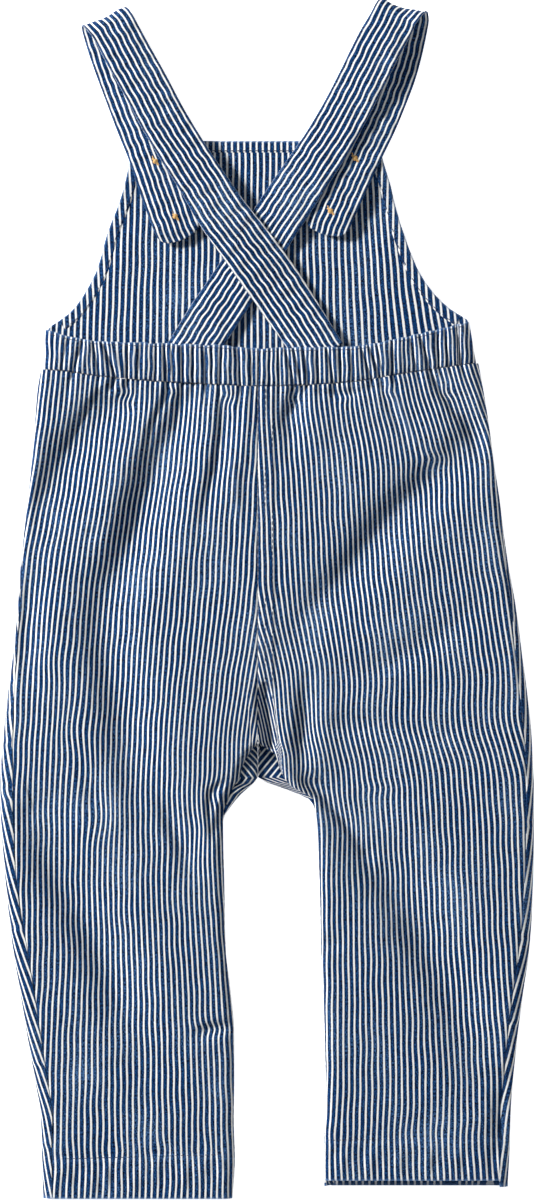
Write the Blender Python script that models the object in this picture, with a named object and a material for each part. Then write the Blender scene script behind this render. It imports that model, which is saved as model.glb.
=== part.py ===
"""Baby dungarees in striped denim, laid out flat on their front with the back up.

The frame is in metres with +Z up.  The garment rests on Z = 0, its straps point to +Y and the
origin is under the middle of its box.  Every size below is in millimetres and is turned into
metres where a mesh is made.  "Left" is the -X side.

Each panel is one sheet of cloth: a grid of sections across the garment, worked out from the
tables below, which a Solidify modifier turns into a wall.  The front panels lie on the surface
and curl up round the sides to the side seams; the back panels lie above them, so that the body
and both legs stay open tubes.
"""
import math
from collections import namedtuple

import bpy
import numpy as np

MM = 0.001

# ---- driving dimensions, millimetres ------------------------------------------------------
CLOTH = 1.2            # one layer of denim
STRAP_CLOTH = 2.0      # two layers, turned and stitched
WAISTBAND_CLOTH = 2.4  # two layers with the elastic between them
SEAM_GAP = 0.3         # air between two pieces that are sewn together
SIDE_RADIUS = 5.5      # how far in from the outline the sides and inseams round over
CENTRE_SEAM_X = -4.9   # the centre back and centre front seams
BACK_COLUMNS = 19      # grid columns across one back panel
CROTCH_OPEN_Y = -78.0  # above this the two legs share one hollow
CROTCH_SHUT_Y = -96.0  # below this each leg is a tube of its own
STRAP_STATIONS = 47    # sections along one strap
STRAP_TIP = 12.0       # length over which a strap's front end rounds off
FOLD_RADIUS = 4.4      # middle of the strap's cloth where it turns over at the shoulder
FOLD_HEIGHT = 5.7      # height of that turn's axis
BUTTON_DIAMETER = 14.0
BUTTON_THICKNESS = 2.6
BUTTON_RIM = 1.5       # width of the raised rim
BUTTON_DISH = 0.5      # depth of the dished face
BUTTON_HOLE = 1.6      # diameter of each of the four sewing holes
BUTTON_HOLE_PITCH = 2.6
BUTTON_SIDES = 20
BUTTON_LIFT = BUTTON_THICKNESS + 0.35  # how high the bib is held over its upper buttons
PLEAT_DEPTH = 0.6      # waistband gathers, crest to trough
PLEATS = 27
SEAM_STRIP = 0.002      # share of a panel's width that lies square to its seam
BAND_END_RISE = 0.6     # clears the thick ends of the waistband from the bib's edges

# ---- sections -----------------------------------------------------------------------------
# A row is one section across a leg: its distance up the garment, the outline's outer and inner
# edge, how far in from the outer edge the side seam shows on the back, and the lofted height.
LegRow = namedtuple("LegRow", "y outer inner inset loft")

LEFT_LEG = (
    LegRow(124.0, -120.6, CENTRE_SEAM_X, 0.0, 10.0),
    LegRow(107.5, -123.8, CENTRE_SEAM_X, 0.0, 10.6),
    LegRow(90.0, -125.4, CENTRE_SEAM_X, 0.0, 11.0),
    LegRow(72.0, -127.1, CENTRE_SEAM_X, 0.0, 11.4),
    LegRow(54.0, -128.9, CENTRE_SEAM_X, 0.0, 11.6),
    LegRow(36.0, -131.0, CENTRE_SEAM_X, 0.4, 11.8),
    LegRow(17.0, -133.0, CENTRE_SEAM_X, 0.8, 12.0),
    LegRow(-4.0, -134.4, CENTRE_SEAM_X, 1.2, 12.0),
    LegRow(-27.0, -136.6, CENTRE_SEAM_X, 2.0, 12.2),
    LegRow(-48.0, -139.4, CENTRE_SEAM_X, 3.6, 12.4),
    LegRow(-66.0, -141.4, CENTRE_SEAM_X, 4.8, 12.4),
    LegRow(-80.0, -142.8, CENTRE_SEAM_X, 5.9, 12.4),
    LegRow(-91.0, -143.8, CENTRE_SEAM_X, 6.8, 12.4),
    LegRow(-97.0, -143.8, -5.4, 7.0, 12.4),
    LegRow(-100.5, -143.8, -9.2, 7.2, 12.4),
    LegRow(-105.0, -143.8, -14.2, 7.2, 12.4),
    LegRow(-111.0, -143.8, -19.2, 7.0, 12.4),
    LegRow(-119.0, -143.4, -23.6, 6.8, 12.4),
    LegRow(-133.0, -142.5, -23.5, 6.5, 12.2),
    LegRow(-150.0, -141.1, -23.0, 6.1, 12.0),
    LegRow(-168.0, -139.3, -22.7, 6.6, 11.8),
    LegRow(-188.0, -137.0, -22.2, 8.0, 11.6),
    LegRow(-210.0, -133.3, -19.7, 7.9, 11.2),
    LegRow(-233.0, -129.6, -17.7, 7.5, 10.8),
    LegRow(-257.0, -125.4, -17.6, 7.0, 10.2),
    LegRow(-280.0, -121.9, -17.9, 6.4, 9.8),
    LegRow(-301.0, -121.4, -17.3, 5.4, 9.4),
    LegRow(-322.4, -120.8, -18.6, 5.4, 9.0),
)

RIGHT_LEG = (
    LegRow(124.0, 112.8, CENTRE_SEAM_X, 0.0, 10.0),
    LegRow(107.5, 116.2, CENTRE_SEAM_X, 0.0, 10.6),
    LegRow(90.0, 119.6, CENTRE_SEAM_X, 0.0, 11.0),
    LegRow(72.0, 122.6, CENTRE_SEAM_X, 0.0, 11.4),
    LegRow(54.0, 125.4, CENTRE_SEAM_X, 0.4, 11.6),
    LegRow(36.0, 127.6, CENTRE_SEAM_X, 0.8, 11.8),
    LegRow(17.0, 130.4, CENTRE_SEAM_X, 1.6, 12.0),
    LegRow(-4.0, 134.2, CENTRE_SEAM_X, 2.4, 12.0),
    LegRow(-27.0, 137.2, CENTRE_SEAM_X, 3.7, 12.2),
    LegRow(-48.0, 140.0, CENTRE_SEAM_X, 4.2, 12.4),
    LegRow(-66.0, 142.0, CENTRE_SEAM_X, 4.1, 12.4),
    LegRow(-80.0, 143.0, CENTRE_SEAM_X, 4.0, 12.4),
    LegRow(-91.0, 143.4, CENTRE_SEAM_X, 4.0, 12.4),
    LegRow(-97.0, 143.8, -3.6, 4.1, 12.4),
    LegRow(-100.0, 143.8, 4.0, 4.1, 12.4),
    LegRow(-103.5, 143.8, 13.6, 4.2, 12.4),
    LegRow(-107.0, 143.8, 22.0, 4.2, 12.4),
    LegRow(-112.0, 143.8, 25.4, 4.3, 12.4),
    LegRow(-133.0, 143.8, 27.4, 4.5, 12.2),
    LegRow(-150.0, 143.4, 28.2, 4.8, 12.0),
    LegRow(-168.0, 142.8, 28.7, 5.2, 11.8),
    LegRow(-188.0, 141.4, 29.0, 5.8, 11.6),
    LegRow(-210.0, 138.3, 30.2, 5.8, 11.2),
    LegRow(-233.0, 135.3, 31.0, 5.6, 10.8),
    LegRow(-257.0, 132.8, 31.6, 5.2, 10.2),
    LegRow(-275.0, 131.4, 32.0, 5.6, 9.8),
    LegRow(-291.5, 131.0, 30.6, 4.8, 9.4),
    LegRow(-312.6, 130.0, 30.8, 4.7, 9.0),
)
RIGHT_FRONT_HEM_Y = -316.0  # the right leg's front hem shows past its back hem

# The bib, top to waist seam: its two edges and how far they curl up to the side seams.
BibRow = namedtuple("BibRow", "left_x left_y right_x right_y wrap")

BIB = (
    BibRow(-72.0, 247.6, 60.5, 247.9, 0.0),
    BibRow(-74.0, 237.5, 62.4, 238.0, 0.0),
    BibRow(-75.9, 228.2, 65.0, 229.2, 0.0),
    BibRow(-78.0, 220.5, 67.2, 222.0, 0.0),
    BibRow(-80.2, 213.5, 68.6, 215.5, 0.0),
    BibRow(-86.0, 198.5, 73.6, 198.5, 0.0),
    BibRow(-91.8, 178.5, 81.5, 178.5, 0.0),
    BibRow(-98.8, 165.0, 89.8, 166.0, 0.0),
    BibRow(-105.3, 156.3, 98.3, 157.6, 0.0),
    BibRow(-112.4, 150.6, 104.8, 153.4, 0.0),
    BibRow(-117.6, 147.0, 108.2, 151.0, 0.1),
    BibRow(-119.6, 141.0, 109.4, 145.5, 1.0),
    BibRow(-120.2, 131.0, 111.4, 134.0, 1.0),
    BibRow(-121.2, 119.4, 113.8, 121.4, 1.0),
)
BIB_COLUMNS = 12  # grid columns of the flat part of the bib

# The waistband: the heights of its top and bottom edge across the back.
BandColumn = namedtuple("BandColumn", "x top bottom")

WAISTBAND = (
    BandColumn(-120.4, 146.0, 124.4),
    BandColumn(-109.6, 142.8, 123.4),
    BandColumn(-90.0, 139.4, 120.6),
    BandColumn(-52.4, 138.0, 117.5),
    BandColumn(-23.2, 137.2, 116.0),
    BandColumn(-5.4, 135.4, 115.3),
    BandColumn(10.0, 135.8, 115.5),
    BandColumn(44.8, 136.6, 117.5),
    BandColumn(71.8, 141.0, 121.8),
    BandColumn(93.0, 146.0, 125.0),
    BandColumn(112.6, 150.8, 127.8),
)
BAND_TOP_ENDS = (-119.5, 109.0)     # its corners at the top edge
BAND_BOTTOM_ENDS = (-120.5, 112.7)  # and at the bottom edge
BAND_LOFT = 10.0

# A strap from its front end to its fold, then from the fold to the waistband: the middle of the
# cloth, the strap's width, and the angle of its cross line from +X in degrees.
StrapPoint = namedtuple("StrapPoint", "x y z width turn")
StrapRoute = namedtuple("StrapRoute", "front fold_way back")

LEFT_STRAP = StrapRoute(
    front=(
        StrapPoint(-45.6, 194.2, 4.9, 25.0, 22.0),
        StrapPoint(-48.6, 201.6, 6.2, 25.0, 22.0),
        StrapPoint(-51.5, 209.1, 6.4, 25.0, 21.0),
        StrapPoint(-57.4, 225.3, 6.2, 25.0, 19.0),
        StrapPoint(-62.8, 241.5, 5.9, 25.0, 20.0),
        StrapPoint(-69.3, 257.7, 4.7, 25.0, 21.0),
        StrapPoint(-75.5, 273.9, 3.0, 24.8, 20.0),
        StrapPoint(-79.9, 285.7, 2.0, 24.8, 20.0),
        StrapPoint(-84.2, 298.0, 1.4, 24.8, 21.0),
        StrapPoint(-87.5, 309.0, 1.3, 24.8, 22.0),
    ),
    fold_way=114.0,
    back=(
        StrapPoint(-83.3, 309.4, 10.1, 24.8, 27.0),
        StrapPoint(-80.0, 303.4, 10.1, 24.8, 29.0),
        StrapPoint(-74.0, 292.2, 10.0, 25.0, 30.0),
        StrapPoint(-64.7, 275.6, 9.7, 25.0, 29.0),
        StrapPoint(-56.3, 259.7, 9.4, 25.0, 30.0),
        StrapPoint(-46.9, 243.9, 9.2, 25.0, 32.0),
        StrapPoint(-36.4, 227.5, 9.1, 25.4, 32.0),
        StrapPoint(-23.8, 207.7, 9.0, 27.4, 34.0),
        StrapPoint(-11.5, 191.6, 8.0, 28.4, 35.0),
        StrapPoint(-3.7, 180.9, 6.9, 29.0, 35.0),
        StrapPoint(4.1, 170.2, 5.5, 29.0, 35.0),
        StrapPoint(11.4, 159.3, 4.9, 28.6, 35.0),
        StrapPoint(18.8, 148.3, 5.1, 27.6, 36.0),
        StrapPoint(25.7, 137.4, 5.9, 27.0, 36.0),
        StrapPoint(29.6, 131.2, 6.0, 27.0, 36.0),
    ),
)

RIGHT_STRAP = StrapRoute(
    front=(
        StrapPoint(30.6, 197.2, 4.9, 25.0, -25.0),
        StrapPoint(33.0, 204.6, 6.2, 25.0, -25.0),
        StrapPoint(35.8, 211.2, 6.4, 25.0, -25.0),
        StrapPoint(43.6, 228.5, 6.2, 25.0, -24.0),
        StrapPoint(50.2, 242.6, 5.9, 25.0, -22.0),
        StrapPoint(57.8, 258.4, 4.7, 25.0, -20.0),
        StrapPoint(64.2, 274.0, 3.0, 25.0, -20.0),
        StrapPoint(68.2, 284.8, 2.0, 25.0, -19.0),
        StrapPoint(71.8, 297.6, 1.4, 24.8, -17.0),
        StrapPoint(75.0, 312.8, 1.3, 24.6, -16.0),
    ),
    fold_way=74.0,
    back=(
        StrapPoint(69.2, 315.2, 10.1, 24.6, -17.0),
        StrapPoint(66.2, 309.2, 10.2, 24.8, -22.0),
        StrapPoint(61.6, 301.2, 10.2, 25.2, -27.0),
        StrapPoint(56.4, 291.1, 10.1, 25.2, -28.0),
        StrapPoint(51.1, 280.4, 9.9, 25.0, -28.0),
        StrapPoint(42.5, 263.7, 9.6, 25.0, -30.0),
        StrapPoint(32.8, 246.7, 9.4, 25.4, -33.0),
        StrapPoint(21.7, 229.9, 9.0, 26.0, -34.0),
        StrapPoint(11.4, 214.4, 7.8, 26.7, -34.0),
        StrapPoint(4.0, 203.2, 5.2, 26.8, -33.0),
        StrapPoint(-4.6, 190.0, 3.7, 26.8, -33.0),
        StrapPoint(-13.5, 176.2, 3.2, 26.4, -33.0),
        StrapPoint(-21.0, 164.8, 3.3, 26.6, -34.0),
        StrapPoint(-28.1, 154.2, 3.9, 27.0, -34.0),
        StrapPoint(-34.6, 143.9, 4.8, 27.0, -32.0),
        StrapPoint(-38.4, 137.6, 5.9, 27.0, -31.0),
        StrapPoint(-42.2, 131.2, 6.0, 27.0, -31.0),
    ),
)

# Where the buttons are sewn, and the height of their lower face.
ButtonPlace = namedtuple("ButtonPlace", "name x y z")

BUTTONS = (
    ButtonPlace("button_left_upper", -60.2, 236.4, 0.0),
    ButtonPlace("button_left_lower", -49.5, 206.7, 2.1),
    ButtonPlace("button_right_upper", 47.4, 238.1, 0.0),
    ButtonPlace("button_right_lower", 34.2, 209.6, 2.1),
)

# The largest folds of the back: a soft trough (or, with a negative depth, a ridge) along a line.
Fold = namedtuple("Fold", "name points width depth")

FOLDS = (
    Fold("left hip, outer", ((-84, 116), (-99, 96), (-111, 76), (-118, 56), (-122, 30)), 6.0, 2.0),
    Fold("left hip, inner", ((-52, 116), (-59, 90), (-66, 70), (-74, 48), (-80, 21), (-90, -4)), 6.5, 2.2),
    Fold("left thigh", ((-77, -34), (-75, -60), (-74, -93)), 8.0, 1.6),
    Fold("left of centre", ((-23, 116), (-24, 96), (-26, 76), (-35, 46)), 6.0, 1.6),
    Fold("left of centre, crease", ((-22, 86), (-16, 56), (-11, 26)), 5.0, -1.0),
    Fold("left thigh, pinch", ((-101, -93), (-78, -140), (-51, -161)), 6.0, 1.6),
    Fold("left shin", ((-124, -119), (-110, -155), (-91, -188), (-78, -229)), 7.0, 1.6),
    Fold("right of centre", ((14, 113), (10, 90)), 5.0, 1.2),
    Fold("right hip, crease", ((61, 118), (70, 106), (78, 88), (90, 76)), 5.0, -1.0),
    Fold("right hip, outer", ((88, 122), (96, 109), (110, 81)), 5.5, 1.8),
    Fold("right seat", ((105, 86), (90, 56), (76, 36), (62, 16), (43, 1), (12, -24)), 6.5, 2.2),
    Fold("crotch, right", ((19, -58), (19, -88)), 5.0, 1.4),
    Fold("right thigh", ((26, -98), (33, -113), (46, -125), (58, -150), (66, -162)), 6.0, 1.8),
    Fold("right shin", ((66, -162), (84, -190), (99, -223), (110, -251)), 7.0, 1.4),
)


# ---- numbers ------------------------------------------------------------------------------
def column(table, name):
    """One named column of a table as an array."""
    return np.array([getattr(row, name) for row in table], dtype=float)


def smooth_step(low, high, value):
    """0 at low, 1 at high, with a soft start and end."""
    t = np.clip((np.asarray(value, dtype=float) - low) / (high - low), 0.0, 1.0)
    return t * t * (3.0 - 2.0 * t)


def round_over(distance, radius=SIDE_RADIUS):
    """A quarter ellipse: 0 on the edge, 1 once the distance reaches the radius."""
    t = np.clip(distance / radius, 0.0, 1.0)
    return np.sqrt(np.maximum(1.0 - (1.0 - t) ** 2, 0.0))


def through(points, count):
    """A Catmull-Rom curve through the points, as evenly spaced stations in every column."""
    points = np.asarray(points, dtype=float)
    padded = np.vstack([2 * points[0] - points[1], points, 2 * points[-1] - points[-2]])
    t = np.linspace(0.0, 1.0, 12, endpoint=False)[:, None]
    pieces = []
    for p0, p1, p2, p3 in zip(padded, padded[1:], padded[2:], padded[3:]):
        pieces.append(0.5 * (2 * p1 + (p2 - p0) * t + (2 * p0 - 5 * p1 + 4 * p2 - p3) * t**2
                             + (3 * p1 - p0 - 3 * p2 + p3) * t**3))
    curve = np.vstack(pieces + [points[-1:]])
    steps = np.linalg.norm(np.diff(curve[:, :3], axis=0), axis=1)
    length = np.concatenate([[0.0], np.cumsum(steps)])
    at = np.linspace(0.0, length[-1], count)
    return np.column_stack([np.interp(at, length, curve[:, k]) for k in range(curve.shape[1])]), at


def fold_height(x, y):
    """What all the folds add to the height of the back at x, y: each is a bell across its line."""
    total = np.zeros_like(x)
    for fold in FOLDS:
        points = np.array(fold.points, dtype=float)
        nearest = np.full_like(x, np.inf)
        reach = np.zeros_like(x)
        spans = len(points) - 1
        for k, (a, b) in enumerate(zip(points, points[1:])):
            way = b - a
            t = np.clip(((x - a[0]) * way[0] + (y - a[1]) * way[1]) / (way @ way), 0.0, 1.0)
            distance = np.hypot(x - a[0] - t * way[0], y - a[1] - t * way[1])
            closer = distance < nearest
            nearest = np.where(closer, distance, nearest)
            reach = np.where(closer, (k + t) / spans, reach)
        fade = 0.35 + 0.65 * np.sin(math.pi * reach)
        total -= fold.depth * fade * np.exp(-((nearest / fold.width) ** 2))
    return total


# ---- meshes -------------------------------------------------------------------------------
def material(name, colour, roughness):
    """A Principled material of one plain finish."""
    made = bpy.data.materials.new(name)
    made.use_nodes = True
    shader = made.node_tree.nodes["Principled BSDF"]
    shader.inputs["Base Color"].default_value = (*colour, 1.0)
    shader.inputs["Roughness"].default_value = roughness
    shader.inputs["Metallic"].default_value = 0.0
    return made


def add_object(name, vertices, faces, look):
    """A named object in the scene, from vertices in millimetres."""
    mesh = bpy.data.meshes.new(name)
    mesh.from_pydata((np.asarray(vertices) * MM).tolist(), [], faces)
    mesh.materials.append(look)
    mesh.update()
    made = bpy.data.objects.new(name, mesh)
    bpy.context.scene.collection.objects.link(made)
    return made


def sheet(name, grid, thickness, look, up=True, offset=-1.0):
    """Cloth through a grid of points (rows, columns, 3), thickened away from its outer face.

    The faces of a grid whose rows run to -Y and whose columns run to +X point down; up turns them.
    """
    rows, columns = grid.shape[:2]
    faces = []
    for r in range(rows - 1):
        for c in range(columns - 1):
            a = r * columns + c
            quad = [a, a + columns, a + columns + 1, a + 1]
            faces.append(quad if up else quad[::-1])
    made = add_object(name, grid.reshape(-1, 3), faces, look)
    wall = made.modifiers.new("wall", "SOLIDIFY")
    wall.thickness = thickness * MM
    wall.offset = offset
    wall.use_rim = True
    return made


# ---- trousers -----------------------------------------------------------------------------
def crotch_curl(y):
    """0 where the two legs share one hollow, 1 where each inner edge is closed by its inseam."""
    return smooth_step(CROTCH_OPEN_Y, CROTCH_SHUT_Y, y)


def dense_ends(count):
    """Parameters from 0 to 1 that crowd towards both ends, with a narrow strip at each seam.

    The narrow strip turns the wall's end square to the cloth, so that two sewn walls don't meet.
    """
    u = np.linspace(0.0, 1.0, count)
    u = u - 0.11 * np.sin(2.0 * math.pi * u)
    return np.concatenate([[0.0, SEAM_STRIP], u[1:-1], [1.0 - SEAM_STRIP, 1.0]])


def back_grid(table, side):
    """The outer face of a back panel, from the side seam over the top to the inner edge."""
    y = column(table, "y")[:, None]
    outer = column(table, "outer")[:, None]
    inner = column(table, "inner")[:, None] + side * SEAM_GAP / 2
    inset = column(table, "inset")[:, None] + SEAM_GAP / 2
    loft = column(table, "loft")[:, None]
    seam = outer - side * inset
    x = seam + (inner - seam) * dense_ends(BACK_COLUMNS)[None, :]
    y = y + np.zeros_like(x)
    y[0] = np.interp(x[0], column(WAISTBAND, "x"), column(WAISTBAND, "bottom")) - SEAM_GAP
    inner_round = round_over(np.abs(x - inner))
    crown = round_over(np.abs(outer - x)) * (1.0 - crotch_curl(y) * (1.0 - inner_round))
    half = loft / 2
    at_inner_edge = crotch_curl(y) * (1.0 - inner_round)
    z = half + half * crown + fold_height(x, y) * crown**2 * (1.0 - smooth_step(-296.0, -322.0, y))
    z += SEAM_GAP * np.maximum(at_inner_edge, 1.0 - round_over(np.abs(outer - x)))
    return np.dstack([x, y, z])


def side_curl(inset, steps):
    """The way round a side from the seam to the surface: distance in from the edge, and height.

    Heights run from 1 on top through 0 at the edge to -1 on the surface.
    """
    ratio = inset / SIDE_RADIUS
    flat = np.maximum(ratio - 1.0, 0.0)
    start = np.arccos(1.0 - np.minimum(ratio, 1.0))
    shares = np.concatenate([[0.0, 10 * SEAM_STRIP], np.linspace(0.0, 1.0, steps)[1:]])
    way = shares[None, :] * (flat + start + math.pi / 2)
    angle = np.minimum(start - (way - flat), start)
    distance = np.where(way < flat, inset - way * SIDE_RADIUS, SIDE_RADIUS * (1.0 - np.cos(angle)))
    return distance, np.where(way < flat, 1.0, np.sin(angle))


def front_grid(table, side):
    """The outer face of a front panel: side seam, round the side, the flat underside, inseam."""
    y = column(table, "y").copy()
    if side > 0:
        y[-1] = RIGHT_FRONT_HEM_Y
    y = y[:, None]
    outer = column(table, "outer")[:, None]
    inner = column(table, "inner")[:, None] + side * SEAM_GAP / 2
    inset = np.maximum(column(table, "inset")[:, None] - SEAM_GAP / 2, 0.0)
    half = column(table, "loft")[:, None] / 2
    distance, height = side_curl(inset, 8)
    curl_x = outer - side * distance
    curl_z = half + half * height
    top_fold = fold_height(curl_x, y + np.zeros_like(curl_x))
    curl_z += np.where(height > 0, top_fold * height**2, 0.0) * (1.0 - smooth_step(-296.0, -322.0, y))
    curl_z -= np.where(inset < SEAM_GAP, SEAM_GAP / 2, 0.0) * (1.0 + np.minimum(height, 0.0))
    flat_start = outer - side * SIDE_RADIUS
    flat_end = inner + side * SIDE_RADIUS
    flat_x = flat_start + (flat_end - flat_start) * np.linspace(0.0, 1.0, 6)[None, 1:]
    angle = np.array([[1.1, 0.6, 0.2, 0.0]])
    inner_x = inner + side * SIDE_RADIUS * (1.0 - np.sin(math.pi / 2 - angle))
    inner_z = crotch_curl(y) * (half - SEAM_GAP) * (1.0 - round_over(np.abs(inner_x - inner)))
    x = np.hstack([curl_x, flat_x, inner_x])
    z = np.hstack([curl_z, np.zeros_like(flat_x), inner_z])
    y = y + np.zeros_like(x)
    seam_line = np.interp(x[0], (BIB[-1].left_x, BIB[-1].right_x), (BIB[-1].left_y, BIB[-1].right_y))
    y[0] = seam_line - SEAM_GAP
    return np.dstack([x, y, z])


def bib_lift(x, y):
    """How high the bib is held by the buttons under its two top corners."""
    lift = np.zeros_like(x)
    for button in BUTTONS:
        if button.z > 0:
            continue
        across = 1.0 - smooth_step(18.0, 38.0, np.abs(x - button.x))
        along = smooth_step(button.y - 23.0, button.y - 8.5, y)
        lift = np.maximum(lift, BUTTON_LIFT * across * along)
    return lift


def bib_grid():
    """The underside of the bib, with its edges curling up to the waistband at the sides."""
    left = np.column_stack([column(BIB, "left_x"), column(BIB, "left_y")])
    right = np.column_stack([column(BIB, "right_x"), column(BIB, "right_y")])
    wrap = column(BIB, "wrap")[:, None]
    distance, height = side_curl(np.zeros((len(BIB), 1)), 5)
    width = (right[:, 0] - left[:, 0])[:, None]
    middle = np.linspace(SIDE_RADIUS, width[:, 0] - SIDE_RADIUS, BIB_COLUMNS, axis=1)[:, 1:-1]
    way = np.hstack([distance, middle, width - distance[:, ::-1]]) / width
    edge = BAND_LOFT / 2 * (1.0 + height) - SEAM_GAP / 2 * (1.0 + height)
    rise = np.hstack([edge, np.zeros_like(middle), edge[:, ::-1]])
    x = left[:, :1] + (right - left)[:, :1] * way
    y = left[:, 1:] + (right - left)[:, 1:] * way
    return np.dstack([x, y, wrap * rise + bib_lift(x, y)])


def waistband_grid():
    """The outer face of the waistband: uneven gathers across, rounding over at both ends."""
    steps = np.arange(2 * PLEATS + 1)
    uneven = steps + 0.28 * np.sin(1.9 * steps) + 0.2 * np.sin(0.7 * steps + 1.0)
    u = (uneven - uneven[0]) / (uneven[-1] - uneven[0])
    ends = np.array([0.001, 0.007, 0.02])
    u = np.unique(np.concatenate([[0.0], ends, u[2:-2], 1.0 - ends, [1.0]]))
    rows = []
    for down in (0.0, 0.5, 1.0):
        low = BAND_TOP_ENDS[0] + (BAND_BOTTOM_ENDS[0] - BAND_TOP_ENDS[0]) * down
        high = BAND_TOP_ENDS[1] + (BAND_BOTTOM_ENDS[1] - BAND_TOP_ENDS[1]) * down
        x = low + (high - low) * u
        top = np.interp(x, column(WAISTBAND, "x"), column(WAISTBAND, "top"))
        bottom = np.interp(x, column(WAISTBAND, "x"), column(WAISTBAND, "bottom"))
        crown = round_over(np.minimum(x - low, high - x))
        pleat = PLEAT_DEPTH / 2 * np.where(np.arange(len(x)) % 2 == 0, 1.0, -1.0)
        z = BAND_LOFT / 2 * (1.0 + crown) + pleat * crown**6 + BAND_END_RISE * (1.0 - crown)
        rows.append(np.column_stack([x, top + (bottom - top) * down, z]))
    return np.array(rows)


# ---- straps and buttons -------------------------------------------------------------------
def strap_grid(route):
    """A strap as sections across its route, rounded off at its front end."""
    first, last = route.front[-1], route.back[0]
    way = np.array([math.cos(math.radians(route.fold_way)), math.sin(math.radians(route.fold_way))])
    turn = []
    for share in (0.2, 0.4, 0.6, 0.8):
        angle = math.pi * (share - 0.5)
        centre = np.array([first.x, first.y]) * (1 - share) + np.array([last.x, last.y]) * share
        centre = centre + FOLD_RADIUS * math.cos(angle) * way
        turn.append(StrapPoint(centre[0], centre[1], FOLD_HEIGHT + FOLD_RADIUS * math.sin(angle),
                               first.width, first.turn + (last.turn - first.turn) * share))
    stations, at = through(list(route.front) + turn + list(route.back), STRAP_STATIONS)
    short = np.clip((STRAP_TIP - at) / STRAP_TIP, 0.0, 1.0)
    half = stations[:, 3] / 2 * np.maximum((1.0 - short**2.6) ** (1 / 2.6), 0.25)
    cross = np.radians(stations[:, 4])
    across = np.column_stack([np.cos(cross), np.sin(cross), np.zeros_like(cross)])
    grid = [stations[:, :3] + across * (half * v)[:, None] for v in (-1.0, 0.0, 1.0)]
    return np.stack(grid, axis=1)


def button(place, look):
    """A round sew-through button: a turned disc with a raised rim and four holes."""
    radius = BUTTON_DIAMETER / 2
    bevel = 0.5
    profile = ((radius - bevel, 0.0), (radius, bevel), (radius, BUTTON_THICKNESS - bevel),
               (radius - bevel, BUTTON_THICKNESS), (radius - BUTTON_RIM, BUTTON_THICKNESS),
               (radius - BUTTON_RIM - bevel, BUTTON_THICKNESS - BUTTON_DISH))
    vertices = []
    for r, z in profile:
        for k in range(BUTTON_SIDES):
            angle = 2.0 * math.pi * k / BUTTON_SIDES
            vertices.append((place.x + r * math.cos(angle), place.y + r * math.sin(angle), place.z + z))
    faces = [list(range(BUTTON_SIDES))[::-1]]
    for ring in range(len(profile) - 1):
        for k in range(BUTTON_SIDES):
            a = ring * BUTTON_SIDES + k
            b = ring * BUTTON_SIDES + (k + 1) % BUTTON_SIDES
            faces.append([a, b, b + BUTTON_SIDES, a + BUTTON_SIDES])
    last = (len(profile) - 1) * BUTTON_SIDES
    faces.append([last + k for k in range(BUTTON_SIDES)])
    made = add_object(place.name, vertices, faces, look)
    made.data.shade_smooth()
    made.data.set_sharp_from_angle(angle=math.radians(30.0))
    for dx in (-0.5, 0.5):
        for dy in (-0.5, 0.5):
            cut = hole_cutter(place, dx * BUTTON_HOLE_PITCH, dy * BUTTON_HOLE_PITCH, look)
            drill = made.modifiers.new("sewing hole", "BOOLEAN")
            drill.operation = "DIFFERENCE"
            drill.object = cut
    return made


def hole_cutter(place, dx, dy, look):
    """A hidden six-sided pin, longer than the button is thick, that drills one sewing hole."""
    sides = 6
    vertices = []
    for z in (-1.0, BUTTON_THICKNESS + 1.0):
        for k in range(sides):
            angle = 2.0 * math.pi * k / sides
            vertices.append((place.x + dx + BUTTON_HOLE / 2 * math.cos(angle),
                             place.y + dy + BUTTON_HOLE / 2 * math.sin(angle), place.z + z))
    faces = [list(range(sides))[::-1], list(range(sides, 2 * sides))]
    faces += [[k, (k + 1) % sides, sides + (k + 1) % sides, sides + k] for k in range(sides)]
    cut = add_object(f"{place.name} hole cutter", vertices, faces, look)
    cut.hide_render = True
    cut.display_type = "WIRE"
    return cut


# ---- the garment --------------------------------------------------------------------------
def build():
    """Empty the scene, then make every piece."""
    for old in list(bpy.data.objects):
        bpy.data.objects.remove(old)
    denim = material("striped denim", (0.055, 0.12, 0.25), 0.88)
    inside = material("denim, inside face", (0.07, 0.14, 0.27), 0.9)
    band = material("gathered denim", (0.045, 0.10, 0.22), 0.88)
    strap = material("strap denim", (0.06, 0.13, 0.26), 0.86)
    horn = material("button", (0.62, 0.50, 0.34), 0.4)

    sheet("front_left", front_grid(LEFT_LEG, -1), CLOTH, denim, up=False)
    sheet("front_right", front_grid(RIGHT_LEG, 1), CLOTH, denim)
    sheet("back_left", back_grid(LEFT_LEG, -1), CLOTH, denim)
    sheet("back_right", back_grid(RIGHT_LEG, 1), CLOTH, denim, up=False)
    sheet("bib", bib_grid(), CLOTH, inside, up=False)
    sheet("waistband", waistband_grid(), WAISTBAND_CLOTH, band)
    sheet("strap_left", strap_grid(LEFT_STRAP), STRAP_CLOTH, strap, offset=0.0)
    sheet("strap_right", strap_grid(RIGHT_STRAP), STRAP_CLOTH, strap, offset=0.0)
    for place in BUTTONS:
        button(place, horn)


build()
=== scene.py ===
"""Striped denim baby dungarees, laid out flat with the back up: cloth, gathers, folds and stitching.

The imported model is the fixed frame.  Every cloth piece here is a thin closed shell over its solid,
worked out with numpy as a function of two parameters on a grid.  Tables are in millimetres, in the
frame's own axes: +Z up, +Y towards the straps, "left" on the -X side.
"""
from __future__ import annotations

import logging
import math
from dataclasses import dataclass, field
from enum import Enum
from typing import Callable, NamedTuple, Sequence

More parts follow.
